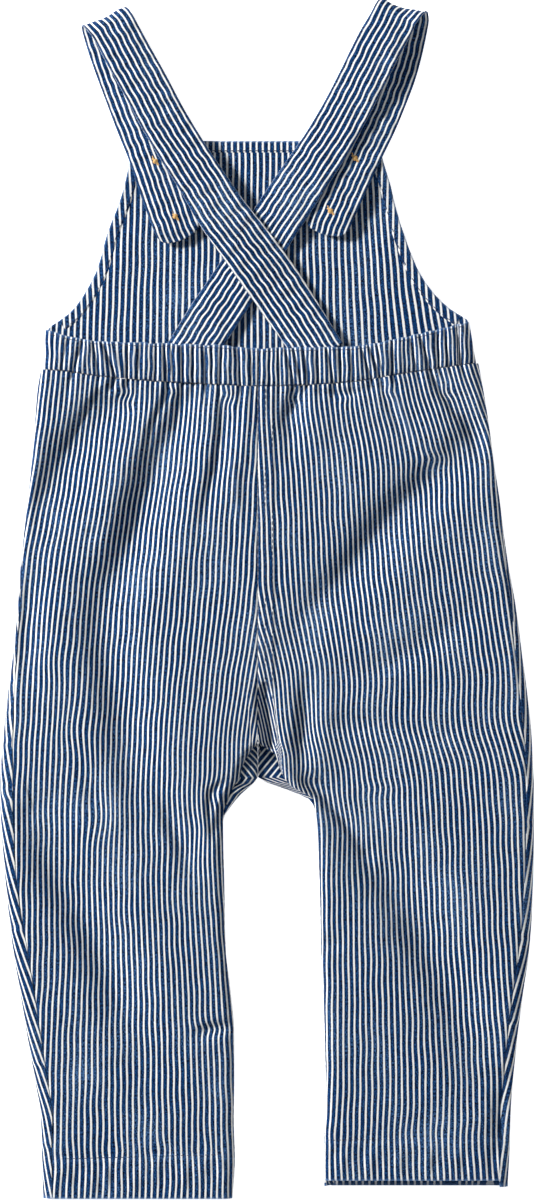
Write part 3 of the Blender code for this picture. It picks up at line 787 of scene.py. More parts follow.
RIGHT_GRAIN = (
    GrainRow(128.0, 2.0, -22.0), GrainRow(110.0, 1.0, -22.0), GrainRow(92.0, -3.0, -17.0),
    GrainRow(78.0, -3.5, -8.0), GrainRow(60.0, -3.0, -3.5), GrainRow(45.0, -2.0, -6.5),
    GrainRow(28.0, -1.0, -7.5), GrainRow(-5.0, -4.0, -7.0), GrainRow(-20.0, -6.0, -8.0),
    GrainRow(-40.0, -4.0, -8.5), GrainRow(-68.0, -4.0, -9.5),
    GrainRow(-85.0, -4.0, -8.0), GrainRow(-100.0, -5.0, -5.0), GrainRow(-118.0, -5.0, -3.5),
    GrainRow(-150.0, -2.5, -2.5), GrainRow(-180.0, -2.0, -2.5), GrainRow(-215.0, 0.0, -3.0),
    GrainRow(-245.0, 1.5, -3.0), GrainRow(-280.0, 4.0, 1.5), GrainRow(-295.0, 2.0, -4.0),
    GrainRow(-316.0, -2.0, -2.0),
)

BACK_CREASES = (
    Crease(((-73, 114), (-90, 98), (-105, 80), (-116, 60), (-122, 42), (-125, 18)), 10.0, 7.2, 0.8, 0.7, 0.9, 1.5),
    Crease(((-80, 117), (-89, 113), (-94, 107), (-99, 99), (-104, 91), (-112, 74)), 1.6, 1.6, 0.0, 0.9, 0.9, 1.6),
    Crease(((-43, 117), (-49, 97), (-57, 78), (-66, 54), (-75, 27), (-86, -3), (-93, -24)), 9.5, 8.6, 1.0, 0.7, 0.9, 1.4),
    Crease(((-52, 117), (-55, 110), (-60, 99), (-64, 88), (-69, 66)), 1.5, 1.8, 0.0, 0.9, 0.9, 1.6),
    Crease(((-92, 4), (-86, -25), (-80, -52), (-73, -82), (-67, -118)), 11.5, 7.0, 0.6, 0.3, 0.7, 1.3),
    Crease(((-126, 24), (-129, 0), (-130, -28), (-127, -60)), 7.0, 5.0, 0.4, 0.2, 0.9, 1.2),
    Crease(((-22, 116), (-23, 97), (-26, 78), (-32, 54), (-37, 34)), 3.4, 3.6, 1.0, 0.8, 0.9, 1.6),
    Crease(((-21, 84), (-17, 60), (-13, 26)), 2.6, -0.9, 0.0, 0.2, 0.9, 1.2),
    Crease(((-43, 116), (-46, 102), (-51, 84)), 2.0, 1.4, 0.4, 0.8),
    Crease(((-58, -102), (-50, -122), (-42, -141), (-36, -156)), 5.4, 4.6, 1.0, 0.2, 0.9, 1.5),
    Crease(((-43, -108), (-39, -122), (-36, -134)), 2.6, 1.6, 0.6, 0.2, 0.9, 1.5),
    Crease(((-100, -93), (-91, -112), (-83, -128)), 4.4, 1.8, 0.6, 0.2, 0.9, 1.5),
    Crease(((-124, -118), (-114, -146), (-100, -168), (-87, -195), (-76, -222), (-70, -246)),
           11.0, 8.0, 0.8, 0.4, 0.8, 1.5),
    Crease(((-21, -108), (-25, -118), (-29, -132)), 3.2, 2.2, 0.6, 0.4, 0.9, 1.4),
    Crease(((-17, -229), (-30, -231), (-41, -235)), 3.2, 2.6, 0.0, 0.7, 0.8, 1.3),
    Crease(((-97, 39), (-93, 30)), 3.0, 1.3, 0.5, 0.2),
    Crease(((16, 116), (13, 97), (12, 74)), 4.6, 3.4, 0.8, 0.8, 0.9, 1.5),
    Crease(((22, 117), (16, 106), (13, 96)), 2.0, 1.8, 0.3, 0.9, 0.9, 1.6),
    Crease(((20, 112), (40, 110.5), (61, 115)), 2.0, 3.4, 0.0, 0.4, 0.5, 1.2),
    Crease(((62, 119), (70, 106), (78, 88), (90, 76)), 2.2, -1.1, 0.0, 0.8, 0.9, 1.3),
    Crease(((59, 118), (66, 106), (73, 90), (84, 74)), 2.6, 1.3, 0.0, 0.5),
    Crease(((94, 116), (105, 101), (113, 85), (119, 70)), 4.0, 3.4, 0.8, 0.8, 0.9, 1.6),
    Crease(((88, 124), (92, 116), (99, 104), (106, 92)), 1.4, 1.6, 0.0, 0.9, 0.9, 1.6),
    Crease(((118, 97), (103, 78), (84, 60), (65, 41), (46, 17), (27, -4), (8, -30)), 9.5, 6.8, 0.5, 0.3, 0.9, 1.4),
    Crease(((21, -44), (20, -66), (19, -82), (22, -98)), 4.2, 4.6, 0.8, 0.3, 0.7, 1.4),
    Crease(((27, -67), (45, -70), (64, -76)), 4.4, 1.6, 0.0, 0.5, 0.9, 1.2),
    Crease(((34, -104), (48, -124), (62, -143), (75, -162), (86, -184), (99, -208), (108, -232), (115, -256)),
           13.0, 8.4, 0.6, 0.6, 0.7, 1.4),
    Crease(((127, -258), (127, -280), (124, -298)), 6.0, 3.0, 0.4, 0.3, 0.5, 1.3),
    Crease(((28, -183), (35, -185), (43, -188)), 3.0, 1.8, 0.0, 0.5, 0.8, 1.3),
    Crease(((11, -88), (18, -95), (27, -102), (36, -112), (46, -125), (53, -137)), 2.8, 3.2, 1.0, 0.3, 0.5, 1.6),
    Crease(((-17, -98), (-20, -103), (-24, -113), (-25, -122)), 2.0, 2.6, 0.6, 0.4, 0.6, 1.4),
    Crease(((-20, -97), (-29, -103), (-31, -112), (-30, -126)), 2.2, 2.2, 0.8, 0.4, 0.6, 1.4),
    Crease(((34, -58), (52, -66), (74, -71), (96, -73)), 4.6, 1.8, 0.4, 0.2, 0.5, 1.4),
    Crease(((44, -40), (66, -34), (92, -20), (112, -4)), 6.5, 2.0, 0.4, 0.2, 0.5, 1.4),
    Crease(((-1.5, -50), (-0.5, -62), (1.2, -74), (1.5, -90)), 3.6, 7.6, 0.0, 0.8, 0.2, 1.1),
)


class Nudge(NamedTuple):
    """A place where a small fold pushes the stripes aside, and its reach across and along."""

    x: float
    y: float
    shift: float
    wide: float
    tall: float


NUDGES = (
    Nudge(-77.0, 112.0, 1.7, 4.5, 3.0), Nudge(-74.0, 106.0, -1.2, 4.0, 3.5), Nudge(-51.0, 112.0, 1.5, 3.5, 3.0),
    Nudge(-22.0, 111.0, 1.4, 3.6, 3.2), Nudge(-19.0, 104.0, -1.0, 3.0, 3.5), Nudge(14.0, 109.0, -1.6, 4.0, 3.0),
    Nudge(42.0, 109.0, 1.4, 5.0, 3.0), Nudge(66.0, 112.0, -1.6, 4.0, 3.0), Nudge(97.0, 112.0, -1.8, 4.0, 3.4),
    Nudge(-28.0, -104.0, -2.4, 6.0, 6.0), Nudge(-37.0, -122.0, 1.6, 6.0, 8.0), Nudge(22.0, -98.0, -2.4, 7.0, 5.0),
    Nudge(40.0, -124.0, 1.8, 10.0, 10.0), Nudge(-98.0, -93.0, 1.8, 8.0, 12.0), Nudge(-112.0, -30.0, -1.4, 8.0, 14.0),
    Nudge(-90.0, -114.0, 2.4, 9.0, 15.0), Nudge(-104.0, -66.0, -1.4, 8.0, 14.0), Nudge(91.0, 76.0, 2.0, 8.0, 4.0),
    Nudge(-46.0, -130.0, 1.8, 8.0, 16.0), Nudge(57.0, -150.0, 1.4, 10.0, 14.0), Nudge(80.0, 66.0, -1.2, 8.0, 6.0),
    Nudge(18.0, -70.0, 1.6, 5.0, 12.0), Nudge(-30.0, -231.0, 1.4, 9.0, 3.0), Nudge(60.0, -101.0, 1.2, 12.0, 4.0),
)


@dataclass
class Leg:
    """One half of the trousers: its outline, grain and both of its panels' surfaces."""

    side: Side
    rows: tuple[LegRow, ...]
    grain: tuple[GrainRow, ...]
    front_hem: float
    hem_stitch: tuple[float, float]
    columns: int = 150
    back_rows: int = 300
    arc_rows: int = 31
    arc_share: float = 0.6
    fan: float = 10.0
    fan_reach: float = 25.0
    gusset_rise: tuple[float, float] = (1.6, 2.3)
    side_lean: float = 0.2
    pit_edge: float = -9.0
    pit_lean: float = 0.04
    gusset: tuple[tuple[float, float], ...] = (
        (-77.0, 0.0), (-81.0, 3.2), (-86.0, 6.6), (-94.0, 9.4), (-98.0, 9.8),
        (-103.0, 7.0), (-109.0, 3.4), (-117.0, 0.0),
    )
    front_columns: int = 68
    front_rows: int = 150

    def __post_init__(self) -> None:
        """Turn the table's columns into smooth curves of the height up the garment."""
        y = [r.y for r in self.rows]
        self.outer = Profile(y, [r.outer for r in self.rows])
        self.inner = Profile(y, [r.inner for r in self.rows])
        self.inset = Profile(y, [r.inset for r in self.rows])
        self.loft = Profile(y, [r.loft for r in self.rows])
        self.sign = float(self.side.value)
        self.gusset_width = Profile([g[0] for g in self.gusset], [g[1] for g in self.gusset])
        at = np.linspace(self.rows[-1].y - 4.0, 130.0, 500)
        grain_y = [g.y for g in self.grain]
        near = np.tan(np.radians(Profile(grain_y, [g.inner for g in self.grain])(at)))
        far = np.tan(np.radians(Profile(grain_y, [g.outer for g in self.grain])(at)))
        spread = (far - near) * self.sign / 120.0
        step = np.gradient(at)
        scale = np.exp(np.cumsum(spread * step))
        drift = scale * np.cumsum(near / scale * step)
        self.stripe_scale = Profile(at, scale)
        self.stripe_drift = Profile(at, drift)

    @staticmethod
    def curl(y: np.ndarray) -> np.ndarray:
        """0 where both legs share one hollow, 1 where the inseam closes the leg."""
        return smooth_step(CROTCH_OPEN_Y, CROTCH_SHUT_Y, y)

    def cloth_across(self, x: np.ndarray, y: np.ndarray) -> np.ndarray:
        """Where the stripe through x, y stands at the hem: x less the drift, over the spread.

        By the seat seam the stripes run into the seam, by `fan` times a decay away from it.
        """
        away = np.abs(x - CENTRE_SEAM_X)
        grow = smooth_step(12.0, -86.0, y) * (1.0 - 0.7 * smooth_step(-95.0, -250.0, y))
        fan = self.sign * self.fan * grow * np.exp(-away / self.fan_reach)
        by_seam = smooth_step(0.4, -0.4, (x - self.pit_edge + 0.10 * (y + 70.0)) * self.sign)
        into_pit = self.sign * self.pit_lean * by_seam * np.minimum(y + 40.0, 0.0) * smooth_step(-40.0, -60.0, y)
        nudge = sum(n.shift * bell(x - n.x, n.wide) * bell(y - n.y, n.tall) for n in NUDGES)
        return (x - CENTRE_SEAM_X - self.stripe_drift(y)) / self.stripe_scale(y) - fan + into_pit - nudge

    def hem_depth(self, x: np.ndarray) -> np.ndarray:
        """The height of the hem's stitch line at x."""
        low = self.inner(np.array(self.rows[-1].y))
        t = np.clip((x - low) / (self.outer(np.array(self.rows[-1].y)) - low), 0.0, 1.0)
        return self.hem_stitch[0] + (self.hem_stitch[1] - self.hem_stitch[0]) * t

    def back_height(self, x: np.ndarray, y: np.ndarray, gathers: Callable[[np.ndarray, np.ndarray], np.ndarray],
                    row_y: np.ndarray | None = None) -> np.ndarray:
        """Outer height of the back panel.

        Half the loft, plus half the loft times the crown, which rounds over at the side and the
        inseam; then folds, gathers, the hem's step and the centre seam's ridge, all times the crown.

        Args:
            x: Places across.
            y: Places along.
            gathers: Height of the waist's gathers at x, y.
            row_y: The height whose outline holds, where rows bow.

        Returns:
            The height in millimetres.
        """
        at = y if row_y is None else row_y
        inseam = self.inner(at) + self.sign * self.gusset_width(at)
        inner_round = round_over((x - inseam) * self.sign)
        closed = np.maximum(self.curl(at), smooth_step(-76.0, -82.0, at))
        crown = round_over(np.abs(self.outer(at) - x)) * (1.0 - closed * (1.0 - inner_round))
        half = self.loft(at) / 2
        level = 1.0 - smooth_step(-304.0, -324.0, y) * 0.75
        below_waist = 1.0 - 0.65 * smooth_step(103.0, 117.0, y)
        shape = crease_height(x, y, BACK_CREASES) * level * below_waist
        shape = shape + gathers(x, y) + 0.22 * ripple(x, y, 34.0, 2.0 + self.sign) * level
        shape = shape + 0.10 * ripple(x, y, 13.0, 5.0 + self.sign)
        hem = smooth_step(14.0, 0.0, np.abs(y - self.hem_depth(x) + 10.0))
        shape = shape + 0.8 * hem * ripple(x, y * 0.3, 8.0, 9.0 + self.sign)
        stitch = self.hem_depth(x)
        shape = shape + 0.45 * smooth_step(1.2, -0.8, y - stitch) - 0.6 * bell(y - stitch, 0.8)
        seam = np.abs(x - CENTRE_SEAM_X)
        above = 1.0 - smooth_step(-50.0, -66.0, y)
        flat_fell = smooth_step(9.4, 8.4, x - CENTRE_SEAM_X) * smooth_step(-0.3, 0.4, x - CENTRE_SEAM_X)
        shape = shape - 0.5 * bell(np.abs(self.outer(at) - x) - self.inset(at), 0.9)
        shape = shape + above * (0.55 * flat_fell - 0.5 * bell(seam, 0.7))
        return half + half * crown + shape * crown**2 + SEAM_GAP / 2 * closed * (1.0 - inner_round)

    def back_grid(self, waist_low: Profile, gathers: Callable[[np.ndarray, np.ndarray], np.ndarray]
                  ) -> tuple[np.ndarray, np.ndarray, np.ndarray]:
        """The back panel's outer face from the waist down, seam to inner edge.

        Args:
            waist_low: The waistband's lower edge.
            gathers: Height of the waist's gathers.

        Returns:
            The grid, its place in the cloth and how much paler it is: worn edges and hem, and a painted highlight on
            the raised ridges.
        """
        v = np.linspace(0.0, 1.0, self.back_rows)[:, None]
        u = np.linspace(0.0, 1.0, self.columns)
        u = (u - 0.06 * np.sin(2 * math.pi * u))[None, :]
        top = self.rows[0].y - 6.0
        row_y = top + (self.rows[-1].y - top) * v
        seam = self.outer(row_y) - self.sign * (self.inset(row_y) + SEAM_GAP / 2)
        inner = self.inner(row_y) + self.sign * (SEAM_GAP / 2 + self.gusset_width(row_y))
        x = seam + (inner - seam) * u
        y = row_y + (waist_low(x) - SEAM_GAP - top) * smooth_step(0.14, 0.0, v)
        z = self.back_height(x, y, lambda gx, gy: 0.0 * gx, row_y + 0 * x)
        across = self.cloth_across(x, y)
        extra = np.hypot(np.diff(x, axis=1), np.diff(z, axis=1)) - np.abs(np.diff(x, axis=1))
        arc = np.concatenate([np.zeros((len(x), 1)), np.cumsum(extra, axis=1)], axis=1)
        window = np.hanning(self.arc_rows)
        padded = np.pad(arc, ((self.arc_rows // 2, self.arc_rows // 2), (0, 0)), "edge")
        arc = np.apply_along_axis(np.convolve, 0, padded, window / window.sum(), "valid") * self.arc_share
        across = across + self.sign * (arc[:, -1:] - arc)
        across = across + 0.22 * ripple(x, y, 24.0, 8.0 + self.sign)
        across = across + 0.5 * ripple(x, 0 * y, 11.0, 4.0 + self.sign) * bell(y - self.hem_depth(x) - 3.5, 5.0)
        z = self.back_height(x, y, gathers, row_y + 0 * x)
        edge = np.abs(x - seam)
        wear_and_highlight = 0.15 * bell(edge, 0.9) + 0.55 * bell(y - self.rows[-1].y, 0.9)
        wear_and_highlight = wear_and_highlight + 0.22 * bell(y - self.hem_depth(x) + 1.2, 1.0)
        # Painted highlight: paler along the raised fold ridges, added to the worn seam edge and hem.
        ridge = -crease_height(x, y, tuple(c for c in BACK_CREASES if c.depth < 0))
        wear_and_highlight = wear_and_highlight - 0.25 * np.minimum(ridge, 0.0) + 0.05 * ripple(x, y, 9.0, 3.0)
        return np.dstack([x, y, z]), np.dstack([across, y]), np.clip(wear_and_highlight, 0.0, 1.0)

    def inseam_curl(self, y: np.ndarray, inner: np.ndarray) -> tuple[np.ndarray, np.ndarray]:
        """The front's inner edge: half an ellipse up from the underside, then back to the inseam.

        Args:
            y: The rows' heights.
            inner: The leg's inner outline.

        Returns:
            Place across and height of eighteen points on each row, from the underside up.
        """
        ratio = self.gusset_width(y) / SIDE_RADIUS
        level = np.maximum(ratio - 1.0, 0.0)
        start = np.arccos(1.0 - np.minimum(ratio, 1.0))
        way = np.linspace(0.97, 0.0, 18)[None, :] * (level + start + math.pi / 2)
        angle = np.minimum(start - (way - level), start)
        distance = np.where(way < level, (ratio - way) * SIDE_RADIUS, SIDE_RADIUS * (1.0 - np.cos(angle)))
        height = 1.0 + np.where(way < level, 1.0, np.sin(angle))
        at_leg = (self.loft(y) - SEAM_GAP) / 2
        tall = self.gusset_rise[0] + self.gusset_rise[1] * smooth_step(-76.0, -92.0, y)
        tall = tall + (at_leg - tall) * smooth_step(-100.0, -118.0, y)
        return inner + self.sign * distance, height * tall * smooth_step(-72.0, -80.0, y)

    def front_grid(self, seam_line: Callable[[np.ndarray], np.ndarray]
                   ) -> tuple[np.ndarray, np.ndarray, np.ndarray]:
        """The front panel's outer face: from the side seam round the side and under the leg.

        The way round has three stretches: level from the seam to where the side rounds over, half
        an ellipse round the side, and the flat underside, which curls up to the inseam.

        Args:
            seam_line: The height of the front waist seam at x.

        Returns:
            The grid, its place in the cloth and its wear.
        """
        v = np.linspace(0.0, 1.0, self.front_rows)[:, None]
        y = 116.0 + (self.front_hem - 116.0) * v
        outer, inner = self.outer(y), self.inner(y) + self.sign * 0.03
        half = self.loft(y) / 2
        inset = np.maximum(self.inset(y) - SEAM_GAP / 2, 0.0)
        ratio = inset / SIDE_RADIUS
        level = np.maximum(ratio - 1.0, 0.0)
        start = np.arccos(1.0 - np.minimum(ratio, 1.0))
        way = np.linspace(0.0, 1.0, 26)[None, :] * (level + start + math.pi / 2)
        angle = np.minimum(start - (way - level), start)
        distance = np.where(way < level, inset - way * SIDE_RADIUS, SIDE_RADIUS * (1.0 - np.cos(angle)))
        height = np.where(way < level, 1.0, np.sin(angle))
        side_x = outer - self.sign * distance
        side_z = half + half * height
        stitch = self.hem_stitch[1]
        folds = crease_height(side_x, y + 0 * side_x, BACK_CREASES)
        folds = folds + 0.45 * smooth_step(1.2, -0.8, y - stitch) - 0.3 * bell(y - stitch, 0.8)
        side_z = side_z + np.where(height > 0, folds * height**2, 0.0)
        flat = np.linspace(0.0, 1.0, self.front_columns - 26 - 17)[None, 1:]
        flat_x = outer - self.sign * SIDE_RADIUS + (inner - outer + 2 * self.sign * SIDE_RADIUS) * flat
        inner_x, rise = self.inseam_curl(y, inner)
        x = np.hstack([side_x, flat_x, inner_x])
        z = np.hstack([side_z, np.zeros_like(flat_x), rise])
        y = y + 0 * x
        y = y + (seam_line(x) - SEAM_GAP - 116.0) * smooth_step(0.08, 0.0, v)
        run = np.concatenate([np.zeros((len(x), 1)), np.cumsum(np.hypot(np.diff(x), np.diff(z)), axis=1)], axis=1)
        edge_run = np.take_along_axis(run, np.argmax(np.abs(x), axis=1)[:, None], axis=1)
        share = (np.abs(outer - CENTRE_SEAM_X) - (run - edge_run)) / np.abs(outer - CENTRE_SEAM_X)
        across = self.sign * share * 128.0
        across = across + self.sign * self.side_lean * y * smooth_step(45.0, 15.0, run)
        across[:, -18:] += self.sign * 0.7 * (y[:, -18:] + 88.0)
        wear_and_highlight = 0.15 * bell(run, 0.9) + 0.55 * bell(y - self.front_hem, 0.9) + 0.0 * x
        return np.dstack([x, y, np.maximum(z, 0.0)]), np.dstack([across, y]), np.clip(wear_and_highlight, 0.0, 1.0)


# ---- waistband ----------------------------------------------------------------------------
class BandColumn(NamedTuple):
    """The waistband's top and bottom edge at one place across the back."""

    x: float
    top: float
    bottom: float


class Pleat(NamedTuple):
    """One gather: where it stands at the band's top and bottom edge, and how it runs out below."""

    top: float
    low: float
    depth: float
    width: float
    reach: float = 14.0
    drift: float = 0.0


@dataclass
class Waistband:
    """The elasticated back waistband: a soft puffed casing drawn into uneven gathers."""

    columns: int = 620
    rows: int = 22
    loft: float = 10.0
    thickness: float = 2.3
    gathers: tuple[Pleat, ...] = (
        Pleat(-114.5, -116.0, 0.9, 1.0, 10.0),
        Pleat(-107.0, -110.6, 0.8, 0.9, 8.0),
        Pleat(-98.9, -104.6, 2.2, 1.2, 12.0, -0.25),
        Pleat(-93.7, -90.7, 2.0, 1.0, 8.0),
        Pleat(-89.1, -81.3, 2.8, 1.1, 9.0, -0.5),
        Pleat(-75.2, -75.2, 2.6, 0.8, 6.0),
        Pleat(-68.0, -69.6, 0.8, 1.0, 9.0, -0.2),
        Pleat(-59.4, -60.4, 1.6, 0.9, 8.0),
        Pleat(-55.5, -53.8, 2.4, 1.3, 12.0, -0.1),
        Pleat(-51.8, -50.4, 1.4, 0.8, 8.0),
        Pleat(-46.2, -45.6, 2.2, 1.0, 22.0, -0.15),
        Pleat(-39.7, -39.9, 1.3, 0.9, 10.0),
        Pleat(-34.4, -33.1, 2.3, 0.9, 9.0),
        Pleat(-29.8, -29.8, 2.0, 1.0, 8.0),
        Pleat(-24.1, -25.7, 2.0, 1.1, 30.0),
        Pleat(-16.1, -14.0, 2.8, 1.5, 26.0, -0.05),
        Pleat(-8.3, -8.3, 1.0, 1.0, 8.0),
        Pleat(-4.2, -4.6, 1.3, 0.9, 10.0),
        Pleat(1.6, 1.4, 0.7, 0.9, 8.0),
        Pleat(6.2, 6.8, 1.5, 0.9, 8.0),
        Pleat(9.5, 14.9, 2.2, 0.9, 14.0, -0.3),
        Pleat(14.1, 18.5, 2.2, 0.9, 12.0, -0.5),
        Pleat(19.3, 21.9, 2.6, 1.0, 8.0, -0.5),
        Pleat(27.3, 28.2, 1.1, 1.0, 14.0, 0.02),
        Pleat(32.0, 36.1, 1.9, 0.9, 8.0),
        Pleat(39.4, 40.0, 2.0, 1.5, 7.0),
        Pleat(45.0, 46.0, 1.1, 1.0, 8.0),
        Pleat(50.2, 56.2, 2.4, 0.9, 7.0),
        Pleat(54.5, 60.6, 2.6, 1.0, 9.0, 0.3),
        Pleat(59.0, 62.6, 1.6, 0.7, 6.0, 0.3),
        Pleat(67.5, 67.8, 2.5, 1.0, 7.0, 0.2),
        Pleat(76.9, 80.5, 2.1, 0.9, 8.0, 0.3),
        Pleat(82.1, 87.6, 2.6, 1.1, 16.0, 0.45),
        Pleat(91.5, 92.4, 2.4, 1.3, 9.0, 0.5),
        Pleat(95.4, 97.8, 1.7, 0.8, 8.0, 0.4),
        Pleat(101.8, 104.7, 1.5, 0.9, 8.0, 0.3),
    )
    edges: tuple[BandColumn, ...] = (
        BandColumn(-120.4, 146.0, 124.4),
        BandColumn(-109.6, 142.8, 123.4),
        BandColumn(-90.0, 139.4, 120.6),
        BandColumn(-52.4, 138.0, 117.5),
        BandColumn(-23.2, 137.2, 116.0),
        BandColumn(-5.4, 135.4, 115.3),
        BandColumn(10.0, 135.8, 115.5),
        BandColumn(44.8, 136.6, 117.5),
        BandColumn(71.8, 141.0, 121.8),
        BandColumn(93.0, 146.0, 125.0),
        BandColumn(112.6, 150.8, 127.8),
    )
    top_ends: tuple[float, float] = (-119.5, 109.0)
    bottom_ends: tuple[float, float] = (-120.5, 112.7)

    def __post_init__(self) -> None:
        """Turn the table into curves."""
        x = [e.x for e in self.edges]
        self.top = Profile(x, [e.top for e in self.edges])
        self.bottom = Profile(x, [e.bottom for e in self.edges])

    def pleats(self, x: np.ndarray, y: np.ndarray, fade: bool) -> np.ndarray:
        """The gathers: for each a trough, e to the minus (|d|/w)^1.3, with a soft crest after it.

        Args:
            x: Places across.
            y: Places along.
            fade: Whether they run out below the band, each at its own length.

        Returns:
            The height to add.
        """
        low = self.bottom(x)
        drop = np.maximum(low - y, 0.0)
        up = np.clip((y - low) / (self.top(x) - low), 0.0, 1.0)
        total = np.zeros(np.broadcast(x, y).shape)
        for pleat in self.gathers:
            away = x - pleat.low - (pleat.top - pleat.low) * up - pleat.drift * drop
            spread = pleat.width * (0.8 + drop / 9.0) if fade else pleat.width * 0.8
            strength = np.exp(-((drop / pleat.reach) ** 1.4)) if fade else 1.0
            fold = np.exp(-((np.abs(away) / np.where(away > 0, 1.7 * spread, spread)) ** 1.3))
            total = total + strength * 1.15 * pleat.depth * (0.40 * bell(away - 3.0, 2.4) - fold)
        return total

    def below(self, x: np.ndarray, y: np.ndarray) -> np.ndarray:
        """The gathers' height on the panels below the band."""
        dip = -0.6 * bell(self.bottom(x) - y, 1.2)
        return self.pleats(x, y, True) * smooth_step(40.0, 80.0, y) + dip

    def height(self, x: np.ndarray, y: np.ndarray) -> np.ndarray:
        """Outer height of the band at a place on it."""
        top, low = self.top(x), self.bottom(x)
        v = np.clip((top - y) / (top - low), 0.0, 1.0)
        left = self.top_ends[0] + (self.bottom_ends[0] - self.top_ends[0]) * v
        right = self.top_ends[1] + (self.bottom_ends[1] - self.top_ends[1]) * v
        crown = round_over(np.minimum(x - left, right - x))
        puff = 0.75 * np.sin(math.pi * np.clip(v * 1.12 - 0.04, 0.0, 1.0)) ** 0.6
        turn = -0.9 * bell(v, 0.045) - 0.8 * bell(v - 1.0, 0.05)
        shape = puff + turn + self.pleats(x, y, False) * (0.55 + 0.45 * np.sin(math.pi * v))
        return self.loft / 2 * (1.0 + crown) + shape * crown**3 + 0.5 * (1.0 - crown)

    def grid(self, across: Callable[[np.ndarray, np.ndarray], np.ndarray]
             ) -> tuple[np.ndarray, np.ndarray, np.ndarray]:
        """The band's outer face, from its top edge down.

        Args:
            across: Place in the cloth of the panels below, which the band's stripes follow.

        Returns:
            The grid, its place in the cloth and how much paler it is: the worn top edge, and a painted highlight on
            its highest puffs.
        """
        v = np.linspace(0.0, 1.0, self.rows)[:, None]
        u = np.linspace(0.0, 1.0, self.columns)[None, :]
        u = u - 0.012 * np.sin(2 * math.pi * u)
        left = self.top_ends[0] + (self.bottom_ends[0] - self.top_ends[0]) * v
        right = self.top_ends[1] + (self.bottom_ends[1] - self.top_ends[1]) * v
        x = left + (right - left) * u
        y = self.top(x) + (self.bottom(x) - self.top(x)) * v
        y = y + 0.35 * ripple(x, 0 * x, 9.0, 4.0) * smooth_step(0.3, 0.0, v)
        z = self.height(x, y)
        lows = np.array([p.low for p in self.gathers])
        slants = np.array([p.top - p.low for p in self.gathers]) * 0.35
        low_x = np.stack([np.interp(row, lows + slants * (1.0 - k), lows) for row, k in zip(x, v[:, 0])])
        low_x = np.where(x < self.gathers[0].low, x, low_x)
        low_x = np.where(x > self.gathers[-1].top, low_x + x - self.gathers[-1].top, low_x)
        hidden = sum(0.14 * p.depth * np.tanh((low_x - p.low) / 0.8) for p in self.gathers)
        place = across(low_x, self.bottom(low_x)) + hidden + 0.25 * ripple(x, y, 12.0, 6.0)
        # Paler at the worn top edge, and a painted highlight where the band stands highest, on its puffs and pleat
        # crests.
        wear_and_highlight = 0.5 * bell(v, 0.05) + 0.28 * np.maximum(z - self.loft - 0.75, 0.0) + 0.0 * x
        return np.dstack([x, y, z]), np.dstack([place, y]), np.clip(wear_and_highlight, 0.0, 1.0)


# ---- bib ----------------------------------------------------------------------------------
class BibRow(NamedTuple):
    """One line across the bib: its two ends and how far they curl up to the side seams."""

    left_x: float
    left_y: float
    right_x: float
    right_y: float
    wrap: float


